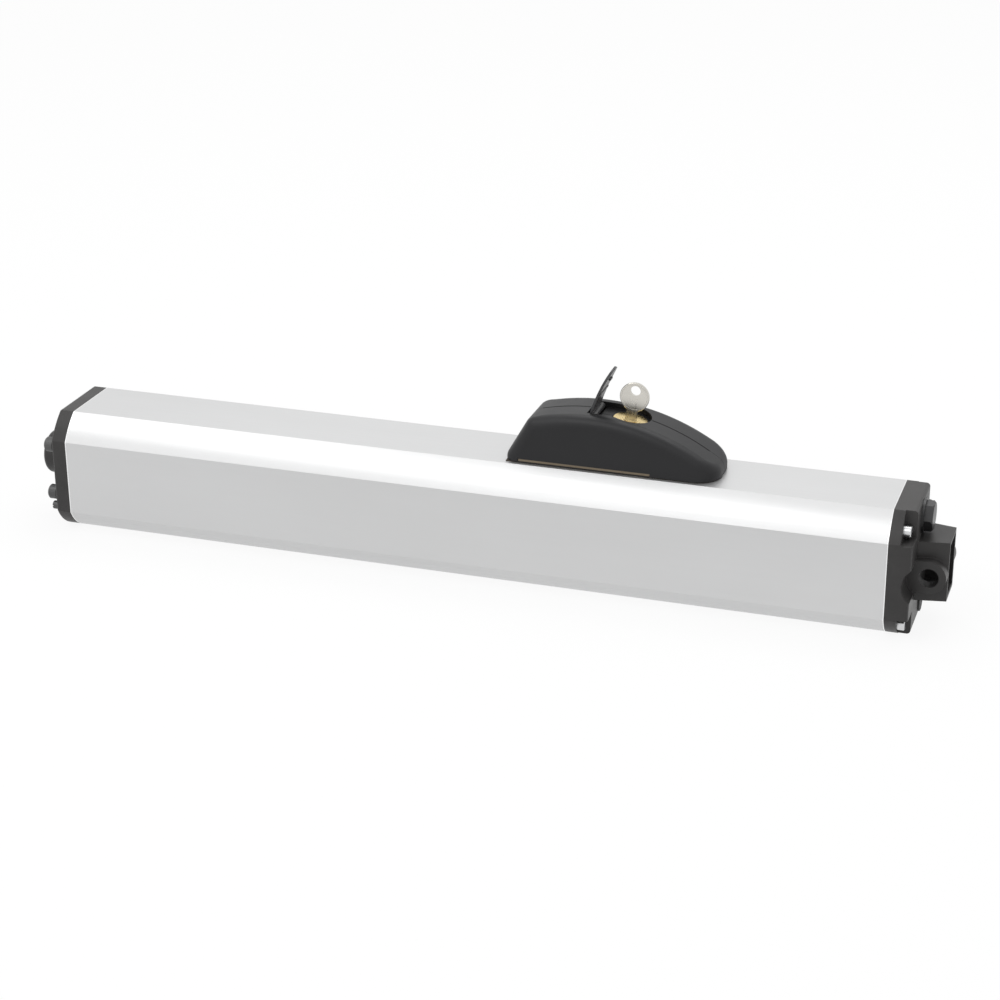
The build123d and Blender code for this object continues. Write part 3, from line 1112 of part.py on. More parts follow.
NODES = {
    "body_profile": body_profile,
    "front_cap": front_cap,
    "front_cap_seal": lambda: end_seal(X_FRONT - SEAL_DEPTH, X_FRONT),
    "rod_wiper": rod_wiper,
    "rod_guide_bush": rod_guide_bush,
    "rod_seal": rod_seal,
    "vent_screw": vent_screw,
    "tie_bolts": tie_bolts,
    "cylinder_tube": cylinder_tube,
    "piston_rod": piston_rod,
    "piston": piston,
    "piston_seals": piston_seals,
    "piston_nut": piston_nut,
    "valve_block": valve_block,
    "block_gasket": block_gasket,
    "block_screws": block_screws,
    "pressure_pipe": pressure_pipe,
    "suction_strainer": suction_strainer,
    "bypass_screw_opening": lambda: bypass_screw(-1),
    "bypass_screw_closing": lambda: bypass_screw(1),
    "relief_springs": relief_springs,
    "relief_balls": relief_balls,
    "pump_body": pump_body,
    "pump_cover": pump_cover,
    "drive_gear": drive_gear,
    "driven_gear": driven_gear,
    "rotor_shaft": rotor_shaft,
    "rotor_core": rotor_core,
    "bearing_inner_rings": bearing_inner_rings,
    "bearing_outer_rings": bearing_outer_rings,
    "bearing_balls": bearing_balls,
    "motor_front_shield": motor_front_shield,
    "motor_rear_shield": motor_rear_shield,
    "stator_core": stator_core,
    "stator_windings": stator_windings,
    "motor_bolts": motor_bolts,
    "motor_lead": motor_lead,
    "rear_cap": rear_cap,
    "rear_cap_seal": lambda: end_seal(X_REAR, X_REAR + SEAL_DEPTH),
    "rear_cap_screws": rear_cap_screws,
    "filler_washer": filler_washer,
    "filler_plug": filler_plug,
    "cable_grommet": cable_grommet,
    "cover_front_half": lambda: cover_half(-1),
    "cover_rear_half": lambda: cover_half(1),
    "cover_screws": cover_screws,
    "cover_base_plate": cover_base_plate,
    "cover_gasket": cover_gasket,
    "flap": flap,
    "flap_hinge_pin": flap_hinge_pin,
    "lock_body": lock_body,
    "lock_nut": lock_nut,
    "lock_plug": lock_plug,
    "key": key,
    "release_bush": release_bush,
    "release_spindle": release_spindle,
    "release_needle": release_needle,
}


os.makedirs("parts", exist_ok=True)
for name, build in NODES.items():
    export_step(build(), os.path.join("parts", name + ".step"))
    print("wrote", name)
print("lock", LOCK_X, LOCK_Z, "hinge", HINGE_X, HINGE_Z, "pin", X_PIN, PIN_Z)
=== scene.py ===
"""Finishes, small trim and studio for a hydraulic swing gate opener."""

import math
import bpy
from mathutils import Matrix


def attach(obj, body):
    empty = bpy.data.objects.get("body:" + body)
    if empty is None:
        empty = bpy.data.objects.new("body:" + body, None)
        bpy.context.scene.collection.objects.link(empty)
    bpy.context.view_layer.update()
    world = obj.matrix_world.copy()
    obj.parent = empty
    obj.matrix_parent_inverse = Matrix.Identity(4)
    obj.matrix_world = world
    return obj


bl_info = {
    "name": "Hydraulic Swing Gate Opener",
    "version": (1, 0, 0),
    "blender": (4, 5, 0),
    "location": "View3D > Sidebar > Gate Opener",
    "description": "Dresses the tank, caps, cover, lock and drive of a swing gate opener and lights them",
    "category": "Object",
}

import bmesh
import bpy
from mathutils import Matrix, Vector

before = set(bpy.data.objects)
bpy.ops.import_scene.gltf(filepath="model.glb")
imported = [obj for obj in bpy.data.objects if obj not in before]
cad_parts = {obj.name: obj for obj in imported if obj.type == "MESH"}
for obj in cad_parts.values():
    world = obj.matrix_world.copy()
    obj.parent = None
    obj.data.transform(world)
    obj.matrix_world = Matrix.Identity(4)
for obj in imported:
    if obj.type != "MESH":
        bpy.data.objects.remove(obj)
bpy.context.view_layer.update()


def far_corner(node):
    """Greatest X, Y and Z that one piece of the model reaches, in metres."""
    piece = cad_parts[node]
    corners = [piece.matrix_world @ Vector(corner) for corner in piece.bound_box]
    return [max(corner[axis] for corner in corners) for axis in range(3)]


# The tank's section, in metres: flats joined by shallow bulges
TANK_END, TANK_SIDE, TANK_HEIGHT = far_corner("body_profile")
TANK_FLAT = 0.0315
UPPER_CORNER = 0.085
LOWER_CORNER = 0.019
UPPER_BULGE = 0.0015
LOWER_BULGE = 0.0025
GLAND_X = -0.39

# The cover's long curve and the stretches of its seam
ARC_CENTRE = Vector((0.107, 0.0, -0.0305))
ARC_RADIUS = 0.183
SEAM_NOSE = 0.061
SEAM_TAIL = 0.203
POCKET_START = 0.103
POCKET_END = 0.1535
POCKET_ROOM = 0.001

# The lock and its key
LOCK_TILT = math.radians(9)
LOCK_FACE = Vector((0.136, 0.0, 0.145122))
LOCK_RING_OUTER = 0.0085
LOCK_RING_INNER = 0.0069
LOCK_RING_HEIGHT = 0.0003
LOCK_RING_SUNK = 0.0001
KEY_FACE = far_corner("key")[1]
KEY_BOW_CENTRE = 0.0203
KEY_RIM_RADIUS = 0.0118
KEY_RIM_SUNK = 0.00005

# The camera that the photograph was taken from
CAMERA_PLACE = (0.602680, -1.738228, 0.835171)
CAMERA_RIGHT = (0.949315, 0.314277, -0.005587)
CAMERA_UP = (-0.117712, 0.371932, 0.920766)
CAMERA_BACK = (0.291454, -0.873440, 0.390074)
SENSOR_WIDTH = 36.0
FOCAL_LENGTH = 84.473
VIEW_REACH = 60.0

# The studio: place, size and watts of each lamp, and how white the floor and the sky are
WHITE = (1.0, 1.0, 1.0, 1.0)
SKY_LEVEL = 0.72
FLOOR_DROP = 0.0005
FLOOR_GREY = (0.60, 0.60, 0.60)
FLOOR_ROUGHNESS = 0.9
FLOOR_GLOW = 1.05
FLOOR_GLOW_SHARE = 0.86
LAMP_AIM = Vector((0.0, 0.0, 0.07))
LAMPS = (
    ("lamp above", Vector((0.3, 0.9, 2.2)), (2.4, 1.2), 20.0),
    ("lamp front", Vector((-1.6, -2.0, 1.1)), (1.4, 1.4), 3.0),
    ("lamp facet", Vector((-0.62, -0.98, 1.82)), (2.2, 0.8), 11.5),
)

# Texture scales, in repeats per metre
DRAWN_PATCHES = (4.0, 14.0, 14.0)
CAST_PATCHES = 38.0
PLASTIC_PATCHES = 30.0
SCUFFS = 420.0
SPOTS = 260.0
WAVE_RADIANS = 20.0


# User settings
class GateOpenerSizes(bpy.types.PropertyGroup):
    # The bright band at the tank's ends is partly a painted highlight on the cut edge
    end_edge_width: bpy.props.FloatProperty(
        name="End edge width", description="Width of the bright saw-cut edge with painted highlight at both ends of the tank",
        default=0.001, min=0.0002, max=0.003, unit="LENGTH", precision=4)
    end_edge_proud: bpy.props.FloatProperty(
        name="End edge height", description="How far the saw-cut edge with painted highlight stands off the tank's skin",
        default=0.00012, min=0.00002, max=0.0005, unit="LENGTH", precision=5)
    # The seam strip is painted shade of the gap between the cover halves
    seam_width: bpy.props.FloatProperty(
        name="Seam width", description="Width of the painted seam shade between the two cover halves",
        default=0.0012, min=0.0003, max=0.002, unit="LENGTH", precision=4)
    seam_proud: bpy.props.FloatProperty(
        name="Seam height", description="How far the painted seam shade stands off the cover",
        default=0.00012, min=0.00002, max=0.0005, unit="LENGTH", precision=5)
    bow_rim_width: bpy.props.FloatProperty(
        name="Key rim width", description="Width of the raised rim around the key's bow",
        default=0.0011, min=0.0004, max=0.003, unit="LENGTH", precision=4)
    bow_rim_height: bpy.props.FloatProperty(
        name="Key rim height", description="How far the rim stands off the key's bow",
        default=0.00025, min=0.00005, max=0.001, unit="LENGTH", precision=5)
    floor_size: bpy.props.FloatProperty(
        name="Floor size", description="Edge length of the studio floor",
        default=12.0, min=4.0, max=40.0, unit="LENGTH")


class GateOpenerColours(bpy.types.PropertyGroup):
    tank: bpy.props.FloatVectorProperty(
        name="Tank", description="Anodised aluminium of the tank", subtype="COLOR", size=3,
        default=(0.62, 0.622, 0.624), min=0.0, max=1.0)
    caps: bpy.props.FloatVectorProperty(
        name="Caps", description="Paint of the two cast end caps", subtype="COLOR", size=3,
        default=(0.034, 0.0325, 0.032), min=0.0, max=1.0)
    cover: bpy.props.FloatVectorProperty(
        name="Cover", description="Moulded plastic of the release cover", subtype="COLOR", size=3,
        default=(0.014, 0.014, 0.0152), min=0.0, max=1.0)
    flap: bpy.props.FloatVectorProperty(
        name="Flap", description="Moulded plastic of the lock's flap", subtype="COLOR", size=3,
        default=(0.055, 0.055, 0.057), min=0.0, max=1.0)
    lock: bpy.props.FloatVectorProperty(
        name="Lock", description="Brass of the lock's disc and plug", subtype="COLOR", size=3,
        default=(0.78, 0.61, 0.30), min=0.0, max=1.0)
    key: bpy.props.FloatVectorProperty(
        name="Key", description="Nickel plate of the key", subtype="COLOR", size=3,
        default=(0.61, 0.59, 0.545), min=0.0, max=1.0)


# Finishes
def blank_finish(name, colour, metallic, roughness, gloss=0.5):
    """New material with the plain values on its shader, and its texture coordinates."""
    finish = bpy.data.materials.new(name)
    finish.use_nodes = True
    tree = finish.node_tree
    shader = tree.nodes["Principled BSDF"]
    shader.inputs["Base Color"].default_value = (*colour, 1.0)
    shader.inputs["Metallic"].default_value = metallic
    shader.inputs["Roughness"].default_value = roughness
    shader.inputs["Specular IOR Level"].default_value = gloss
    place = tree.nodes.new("ShaderNodeTexCoord").outputs["Object"]
    return finish, tree, shader, place


def stretched(tree, place, scale, turn=(0.0, 0.0, 0.0)):
    """The texture coordinates turned and scaled by a different amount along each axis."""
    mapping = tree.nodes.new("ShaderNodeMapping")
    mapping.inputs["Scale"].default_value = scale
    mapping.inputs["Rotation"].default_value = turn
    tree.links.new(place, mapping.inputs["Vector"])
    return mapping.outputs["Vector"]


def noise(tree, vector, scale=1.0, detail=3.0, roughness=0.5):
    """Soft random pattern between 0 and 1."""
    texture = tree.nodes.new("ShaderNodeTexNoise")
    texture.inputs["Scale"].default_value = scale
    texture.inputs["Detail"].default_value = detail
    texture.inputs["Roughness"].default_value = roughness
    tree.links.new(vector, texture.inputs["Vector"])
    return texture.outputs["Fac"]


def shift_range(tree, value, low, high):
    """Maps a texture's middle values to a range."""
    ranged = tree.nodes.new("ShaderNodeMapRange")
    ranged.inputs["From Min"].default_value = 0.3
    ranged.inputs["From Max"].default_value = 0.7
    ranged.inputs["To Min"].default_value = low
    ranged.inputs["To Max"].default_value = high
    tree.links.new(value, ranged.inputs["Value"])
    return ranged.outputs["Result"]


def blend_colours(tree, amount, first, second):
    """The first colour where the amount is 0 and the second where it is 1."""
    mix = tree.nodes.new("ShaderNodeMix")
    mix.data_type = "RGBA"
    mix.inputs["A"].default_value = (*first, 1.0)
    mix.inputs["B"].default_value = (*second, 1.0)
    tree.links.new(amount, mix.inputs["Factor"])
    return mix.outputs["Result"]


def vary_roughness(tree, shader, amount, roughness, smoother, rougher):
    """Lets the shader's roughness wander around its own value."""
    wandering = shift_range(tree, amount, roughness - smoother, roughness + rougher)
    tree.links.new(wandering, shader.inputs["Roughness"])


def raise_grain(tree, shader, height, depth, strength=1.0, edge=0.0):
    """Bump whose depth is in metres, over edges that catch the light as if rounded by the edge radius."""
    bump = tree.nodes.new("ShaderNodeBump")
    if edge:
        rounded = tree.nodes.new("ShaderNodeBevel")
        rounded.inputs["Radius"].default_value = edge
        tree.links.new(rounded.outputs["Normal"], bump.inputs["Normal"])
    bump.inputs["Strength"].default_value = strength
    bump.inputs["Distance"].default_value = depth
    tree.links.new(height, bump.inputs["Height"])
    tree.links.new(bump.outputs["Normal"], shader.inputs["Normal"])


def tone(colour, factor):
    """The colour made lighter or darker."""
    return tuple(min(1.0, channel * factor) for channel in colour)


def mottle(tree, shader, amount, colour, darker, lighter):
    """Lets the shader's colour wander between two tones."""
    shade = blend_colours(tree, amount, tone(colour, darker), tone(colour, lighter))
    tree.links.new(shade, shader.inputs["Base Color"])


def wave_scale(pitch):
    """Scale at which a wave texture repeats once in each pitch."""
    return 2 * math.pi / (WAVE_RADIANS * pitch)


def drawn_metal(name, colour, metallic=1.0, roughness=0.32, along=(6.0, 2200.0, 2200.0), depth=0.00002,
                spread=0.05, tint=0.05):
    """Metal with fine lines along one direction, from drawing, rolling or brushing."""
    finish, tree, shader, place = blank_finish(name, colour, metallic, roughness)
    lines = noise(tree, stretched(tree, place, along), detail=2.0)
    patches = noise(tree, stretched(tree, place, DRAWN_PATCHES), detail=4.0)
    mottle(tree, shader, shift_range(tree, patches, 0.0, 1.0), colour, 1 - tint, 1 + tint)
    vary_roughness(tree, shader, lines, roughness, spread, spread)
    raise_grain(tree, shader, lines, depth)
    return finish


def cast_surface(name, colour, metallic=0.0, roughness=0.5, grain=1400.0, depth=0.00008, tint=0.14, edge=0.0,
                 gloss=0.5):
    """Cast, sprayed or plated surface: soft pits and faint mottling."""
    finish, tree, shader, place = blank_finish(name, colour, metallic, roughness, gloss)
    pits = noise(tree, place, scale=grain, detail=3.0, roughness=0.6)
    patches = noise(tree, place, scale=CAST_PATCHES, detail=5.0, roughness=0.6)
    mottle(tree, shader, shift_range(tree, patches, 0.0, 1.0), colour, 1 - tint, 1 + tint)
    vary_roughness(tree, shader, patches, roughness, smoother=0.06, rougher=0.08)
    raise_grain(tree, shader, pits, depth, edge=edge)
    return finish


def grained_plastic(name, colour, roughness=0.42, grain=1100.0, depth=0.00006):
    """Moulded plastic with a fine eroded texture."""
    finish, tree, shader, place = blank_finish(name, colour, 0.0, roughness, gloss=0.3)
    cells = tree.nodes.new("ShaderNodeTexVoronoi")
    cells.feature = "SMOOTH_F1"
    cells.inputs["Scale"].default_value = grain
    tree.links.new(place, cells.inputs["Vector"])
    patches = noise(tree, place, scale=PLASTIC_PATCHES, detail=5.0)
    mottle(tree, shader, shift_range(tree, patches, 0.0, 1.0), colour, darker=0.88, lighter=1.12)
    vary_roughness(tree, shader, patches, roughness, smoother=0.05, rougher=0.07)
    raise_grain(tree, shader, cells.outputs["Distance"], depth, strength=0.6, edge=0.0008)
    return finish


def turned_metal(name, colour, centre, axis_turn, roughness=0.3, pitch=0.00045, depth=0.000012):
    """Metal faced on a lathe, with rings about an axis through the centre."""
    finish, tree, shader, place = blank_finish(name, colour, 1.0, roughness)
    moved = tree.nodes.new("ShaderNodeVectorMath")
    moved.operation = "SUBTRACT"
    moved.inputs[1].default_value = centre
    tree.links.new(place, moved.inputs[0])
    aligned = stretched(tree, moved.outputs["Vector"], (1.0, 1.0, 1.0), turn=axis_turn)
    rings = tree.nodes.new("ShaderNodeTexWave")
    rings.wave_type = "RINGS"
    rings.rings_direction = "Z"
    rings.inputs["Scale"].default_value = wave_scale(pitch)
    rings.inputs["Distortion"].default_value = 0.4
    rings.inputs["Detail"].default_value = 2.0
    rings.inputs["Detail Scale"].default_value = 60.0
    tree.links.new(aligned, rings.inputs["Vector"])
    scuffs = noise(tree, place, scale=SCUFFS, detail=5.0, roughness=0.65)
    mottle(tree, shader, shift_range(tree, scuffs, 0.0, 1.0), colour, darker=0.93, lighter=1.05)
    vary_roughness(tree, shader, scuffs, roughness, smoother=0.06, rougher=0.1)
    raise_grain(tree, shader, rings.outputs["Fac"], depth)
    return finish


def banded(name, colour, metallic, roughness, direction, pitch, depth):
    """Stack of thin layers or turns: laminations or windings."""
    finish, tree, shader, place = blank_finish(name, colour, metallic, roughness)
    bands = tree.nodes.new("ShaderNodeTexWave")
    bands.wave_type = "BANDS"
    bands.bands_direction = direction
    bands.inputs["Scale"].default_value = wave_scale(pitch)
    bands.inputs["Distortion"].default_value = 0.6
    bands.inputs["Detail"].default_value = 1.0
    bands.inputs["Detail Scale"].default_value = 30.0
    tree.links.new(place, bands.inputs["Vector"])
    mottle(tree, shader, bands.outputs["Fac"], colour, darker=0.8, lighter=1.2)
    spots = noise(tree, place, scale=SPOTS, detail=3.0)
    vary_roughness(tree, shader, spots, roughness, smoother=0.05, rougher=0.08)
    raise_grain(tree, shader, bands.outputs["Fac"], depth)
    return finish


def coat(finish, *nodes):
    """Gives a finish to whole nodes of the model."""
    for node in nodes:
        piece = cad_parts[node]
        if not piece.material_slots:
            piece.data.materials.append(finish)
        for slot in piece.material_slots:
            slot.material = finish


# Trim meshes
def mesh_piece(name, shape, finish, body):
    """Turns a bmesh into a piece that moves with a body."""
    bmesh.ops.recalc_face_normals(shape, faces=shape.faces)
    mesh = bpy.data.meshes.new(name)
    shape.to_mesh(mesh)
    shape.free()
    piece = bpy.data.objects.new(name, mesh)
    bpy.context.scene.collection.objects.link(piece)
    mesh.materials.append(finish)
    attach(piece, body)


def join_loops(shape, loops):
    """Faces between each loop and the next, all with the same number of points."""
    for near, far in zip(loops, loops[1:]):
        for index in range(len(near)):
            following = (index + 1) % len(near)
            shape.faces.new((near[index], near[following], far[following], far[index]))


def bulged_run(start, end, bulge, steps=8):
    """Points of a shallow outward arc between two corners of the tank's section."""
    middle = Vector((0.0, TANK_HEIGHT / 2))
    across = Vector((end.y - start.y, start.x - end.x)).normalized()
    if across.dot((start + end) / 2 - middle) < 0:
        across = -across
    run = []
    for step in range(steps):
        share = step / steps
        rise = 4 * share * (1 - share)
        run.append(start.lerp(end, share) + across * bulge * rise)
    return run


def tank_section():
    """Closed outline of the tank in Y and Z."""
    corners = [Vector(pair) for pair in (
        (-TANK_FLAT, 0.0), (TANK_FLAT, 0.0), (TANK_SIDE, LOWER_CORNER), (TANK_SIDE, UPPER_CORNER),
        (TANK_FLAT, TANK_HEIGHT), (-TANK_FLAT, TANK_HEIGHT), (-TANK_SIDE, UPPER_CORNER),
        (-TANK_SIDE, LOWER_CORNER))]
    bulges = {1: LOWER_BULGE, 3: UPPER_BULGE, 5: UPPER_BULGE, 7: LOWER_BULGE}
    outline = []
    for index, start in enumerate(corners):
        end = corners[(index + 1) % len(corners)]
        outline += bulged_run(start, end, bulges[index]) if index in bulges else [start]
    return outline


def outward(outline, index):
    """Unit normal of the outline at one of its points."""
    before = outline[index - 1]
    after = outline[(index + 1) % len(outline)]
    along = (after - before).normalized()
    return Vector((along.y, -along.x))


def end_edge(x_end, inward, width, proud):
    """Thin raised band around one end of the tank: bare aluminium where the saw cut shows, made brighter than the
    tank as a painted highlight where the edge catches the light.
    """
    shape = bmesh.new()
    outline = tank_section()
    sunk = -2 * proud
    shoulder = width * 0.3
    profile = ((0.0, sunk), (0.0, proud * 0.6), (shoulder, proud), (width - shoulder, proud), (width, sunk))
    loops = []
    for x_shift, height in profile:
        loop = []
        for index, point in enumerate(outline):
            place = point + outward(outline, index) * height
            loop.append(shape.verts.new((x_end + inward * x_shift, place.x, max(place.y, 0.0))))
        loops.append(loop)
    join_loops(shape, loops + loops[:1])
    return shape


def arc_height(x):
    """Height of the cover's long curve."""
    return ARC_CENTRE.z + math.sqrt(ARC_RADIUS ** 2 - (x - ARC_CENTRE.x) ** 2)


def shaded_seam_strip(x_start, x_end, width, proud, steps=48):
    """Near-black strip that follows the cover's long curve, sunk into the seam: painted shade of the gap between the
    two cover halves.
    """
    shape = bmesh.new()
    sunk = -3 * proud
    profile = ((-0.5, sunk), (-0.5, 0.0), (-0.25, proud), (0.25, proud), (0.5, 0.0), (0.5, sunk))
    rows = []
    for step in range(steps + 1):
        x = x_start + (x_end - x_start) * step / steps
        rows.append([shape.verts.new((x, across * width, arc_height(x) + lift)) for across, lift in profile])
    join_loops(shape, rows)
    shape.faces.new(rows[0])
    shape.faces.new(reversed(rows[-1]))
    return shape


def on_lock(across, side, height):
    """Point in the lock's own frame, turned into the model's frame."""
    tilt = Matrix.Rotation(LOCK_TILT, 4, "Y")
    return LOCK_FACE + tilt @ Vector((across, side, height))


def flat_ring(shape, outer, inner, base, height, centre_height, upright, segments=64):
    """Raised ring with a soft top, on the key's face (upright) or on the lock's face."""
    profile = ((outer, base), (outer, base + height * 0.6), (outer * 0.97 + inner * 0.03, base + height),
               (outer * 0.1 + inner * 0.9, base + height), (inner, base + height * 0.5), (inner, base))
    loops = []
    for radius, lift in profile:
        loop = []
        for step in range(segments):
            angle = 2 * math.pi * step / segments
            first = radius * math.cos(angle)
            second = radius * math.sin(angle)
            if upright:
                loop.append(shape.verts.new(on_lock(first, lift, centre_height + second)))
            else:
                loop.append(shape.verts.new(on_lock(first, second, centre_height + lift)))
        loops.append(loop)
    join_loops(shape, loops + loops[:1])


# Operators
class GATE_OT_tank(bpy.types.Operator):
    """Finishes the extruded tank and adds at both ends a bright band of bare cut aluminium, its brightness partly a
    painted highlight on the edge
    """
    bl_idname = "gate.tank"
    bl_label = "Tank"

    def execute(self, context):
        sizes = context.scene.gate_sizes
        colours = context.scene.gate_colours
        skin = drawn_metal("anodised extrusion", colours.tank, metallic=0.75, roughness=0.38, tint=0.02)
        coat(skin, "body_profile")
        coat(cast_surface("cap seal rubber", (0.02, 0.02, 0.02), roughness=0.7), "front_cap_seal", "rear_cap_seal")
        # Bright band at both tank ends: bare aluminium of the cut, its light colour also a painted highlight where
        # the edge catches the light
        bright = drawn_metal("saw-cut edge with painted highlight", (0.86, 0.86, 0.86), roughness=0.25)
        for name, x_end, inward in (("tank_edge_front", -TANK_END, 1), ("tank_edge_rear", TANK_END, -1)):
            shape = end_edge(x_end, inward, sizes.end_edge_width, sizes.end_edge_proud)
            mesh_piece(name, shape, bright, "root")
        return {"FINISHED"}


class GATE_OT_ends(bpy.types.Operator):
    """Finishes both end caps, the gland, their screws and the filler plug"""
    bl_idname = "gate.ends"
    bl_label = "End caps"

    def execute(self, context):
        colours = context.scene.gate_colours
        paint = cast_surface("cap paint", colours.caps, roughness=0.42, grain=1000.0, depth=0.00012, tint=0.2,
                             edge=0.0012, gloss=0.35)
        coat(paint, "front_cap", "rear_cap")
        coat(cast_surface("blackened steel", (0.10, 0.10, 0.10), metallic=0.8, roughness=0.42, grain=2200.0,
                          depth=0.00002), "tie_bolts", "vent_screw")
        coat(cast_surface("black lacquer", (0.022, 0.022, 0.023), roughness=0.34, grain=1200.0, depth=0.00003),
             "filler_plug", "filler_washer")
        zinc = cast_surface("bright zinc plate", (0.64, 0.645, 0.65), metallic=1.0, roughness=0.27, grain=2600.0,
                            depth=0.00001, tint=0.1)
        coat(zinc, "rear_cap_screws", "piston_nut", "suction_strainer", "block_screws", "motor_bolts",
             "cover_screws", "lock_nut", "flap_hinge_pin")
        coat(cast_surface("wiper rubber", (0.018, 0.018, 0.018), roughness=0.62), "rod_wiper", "cable_grommet",
             "motor_lead")
        return {"FINISHED"}


class GATE_OT_cylinder(bpy.types.Operator):
    """Finishes the rod, the piston and the cylinder with their seals"""
    bl_idname = "gate.cylinder"
    bl_label = "Cylinder"

    def execute(self, context):
        coat(drawn_metal("hard chrome", (0.80, 0.81, 0.83), roughness=0.1, along=(900.0, 30.0, 30.0), depth=0.000002,
                         spread=0.03, tint=0.03), "piston_rod", "relief_balls", "bearing_balls")
        coat(drawn_metal("honed steel", (0.50, 0.51, 0.53), roughness=0.28), "cylinder_tube", "pressure_pipe",
             "pump_cover", "drive_gear", "driven_gear", "rotor_shaft", "bearing_inner_rings", "bearing_outer_rings",
             "relief_springs", "release_spindle", "release_needle")
        coat(cast_surface("blue seal polymer", (0.05, 0.16, 0.42), roughness=0.4, grain=600.0, depth=0.00002),
             "piston_seals", "rod_seal")
        centre = (GLAND_X, 0.0, TANK_HEIGHT / 2)
        coat(turned_metal("guide bronze", (0.62, 0.42, 0.20), centre, (0.0, math.pi / 2, 0.0)), "rod_guide_bush",
             "bypass_screw_opening", "bypass_screw_closing", "release_bush")
        return {"FINISHED"}


class GATE_OT_drive(bpy.types.Operator):
    """Finishes the valve block, the gear pump and the motor inside the tank"""
    bl_idname = "gate.drive"
    bl_label = "Drive"

    def execute(self, context):
        coat(cast_surface("die-cast aluminium", (0.48, 0.49, 0.50), metallic=0.9, roughness=0.45, grain=700.0,
                          depth=0.00012), "valve_block", "pump_body", "motor_front_shield", "motor_rear_shield",
             "piston")
        coat(banded("stacked laminations", (0.20, 0.205, 0.21), 0.9, 0.42, "X", 0.0005, 0.00004), "stator_core",
             "rotor_core")
        coat(banded("varnished copper", (0.42, 0.14, 0.045), 0.6, 0.3, "DIAGONAL", 0.0009, 0.0002), "stator_windings")
        coat(cast_surface("gasket rubber", (0.05, 0.04, 0.03), roughness=0.75), "block_gasket", "cover_gasket")
        return {"FINISHED"}


class GATE_OT_cover(bpy.types.Operator):
    """Finishes the release cover and its flap and lays a near-black strip in the seam as painted shade of the gap
    between the halves
    """
    bl_idname = "gate.cover"
    bl_label = "Cover"

    def execute(self, context):
        sizes = context.scene.gate_sizes
        colours = context.scene.gate_colours
        coat(grained_plastic("cover plastic", colours.cover), "cover_front_half", "cover_rear_half")
        coat(grained_plastic("flap plastic", colours.flap, roughness=0.36, grain=1500.0, depth=0.00003), "flap")
        coat(cast_surface("passivated plate", (0.20, 0.16, 0.11), metallic=0.3, roughness=0.5, grain=500.0,
                          depth=0.00003), "cover_base_plate")
        # Near-black strip in the cover's seam: painted shade of the gap between the two halves
        gap_shade = cast_surface("painted seam shade", (0.003, 0.003, 0.003), roughness=0.8, grain=500.0, gloss=0.1)
        for name, x_start, x_end in (("seam_shade_front", SEAM_NOSE, POCKET_START - POCKET_ROOM),
                                     ("seam_shade_rear", POCKET_END + POCKET_ROOM, SEAM_TAIL)):
            shape = shaded_seam_strip(x_start, x_end, sizes.seam_width, sizes.seam_proud)
            mesh_piece(name, shape, gap_shade, "root")
        return {"FINISHED"}


class GATE_OT_lock(bpy.types.Operator):
    """Finishes the lock and its key, with the raised rim around the key's plain bow"""
    bl_idname = "gate.lock"
    bl_label = "Lock and key"

    def execute(self, context):
        sizes = context.scene.gate_sizes
        colours = context.scene.gate_colours
        tilt = (0.0, -LOCK_TILT, 0.0)
        brass = turned_metal("turned brass", colours.lock, tuple(LOCK_FACE), tilt, roughness=0.2)
        coat(brass, "lock_body", "lock_plug")
        nickel = cast_surface("nickel plate", colours.key, metallic=1.0, roughness=0.24, grain=1800.0,
                              depth=0.00002, tint=0.1)
        coat(nickel, "key")
        rim = bmesh.new()
        inner = KEY_RIM_RADIUS - sizes.bow_rim_width
        for face in (-1, 1):
            base = face * (KEY_FACE - KEY_RIM_SUNK)
            flat_ring(rim, KEY_RIM_RADIUS, inner, base, face * sizes.bow_rim_height, KEY_BOW_CENTRE, upright=True)
        mesh_piece("key_bow_rim", rim, nickel, "key_body")
        ring = bmesh.new()
        flat_ring(ring, LOCK_RING_OUTER, LOCK_RING_INNER, -LOCK_RING_SUNK, LOCK_RING_HEIGHT, 0.0, upright=False)
        mesh_piece("lock_face_ring", ring, brass, "root")
        return {"FINISHED"}


# Studio
def seen_rays(tree):
    """1 for a ray from the camera, off a shiny surface or through glass, and 0 for the rest."""
    rays = tree.nodes.new("ShaderNodeLightPath")
    seen = rays.outputs["Is Camera Ray"]
    for kind in ("Is Glossy Ray", "Is Transmission Ray"):
        either = tree.nodes.new("ShaderNodeMath")
        either.operation = "MAXIMUM"
        tree.links.new(seen, either.inputs[0])
        tree.links.new(rays.outputs[kind], either.inputs[1])
        seen = either.outputs[0]
    return seen


def floor_finish():
    """Matt studio floor that is seen mostly as plain white, with a light shadow on it."""
    finish = bpy.data.materials.new("white studio floor")
    finish.use_nodes = True
    tree = finish.node_tree
    shader = tree.nodes["Principled BSDF"]
    shader.inputs["Base Color"].default_value = (*FLOOR_GREY, 1.0)
    shader.inputs["Roughness"].default_value = FLOOR_ROUGHNESS
    glow = tree.nodes.new("ShaderNodeEmission")
    glow.inputs["Color"].default_value = WHITE
    glow.inputs["Strength"].default_value = FLOOR_GLOW
    amount = tree.nodes.new("ShaderNodeMath")
    amount.operation = "MULTIPLY"
    amount.inputs[1].default_value = FLOOR_GLOW_SHARE
    blend = tree.nodes.new("ShaderNodeMixShader")
    tree.links.new(seen_rays(tree), amount.inputs[0])
    tree.links.new(amount.outputs[0], blend.inputs["Fac"])
    tree.links.new(shader.outputs["BSDF"], blend.inputs[1])
    tree.links.new(glow.outputs["Emission"], blend.inputs[2])
    tree.links.new(blend.outputs["Shader"], tree.nodes["Material Output"].inputs["Surface"])
    return finish


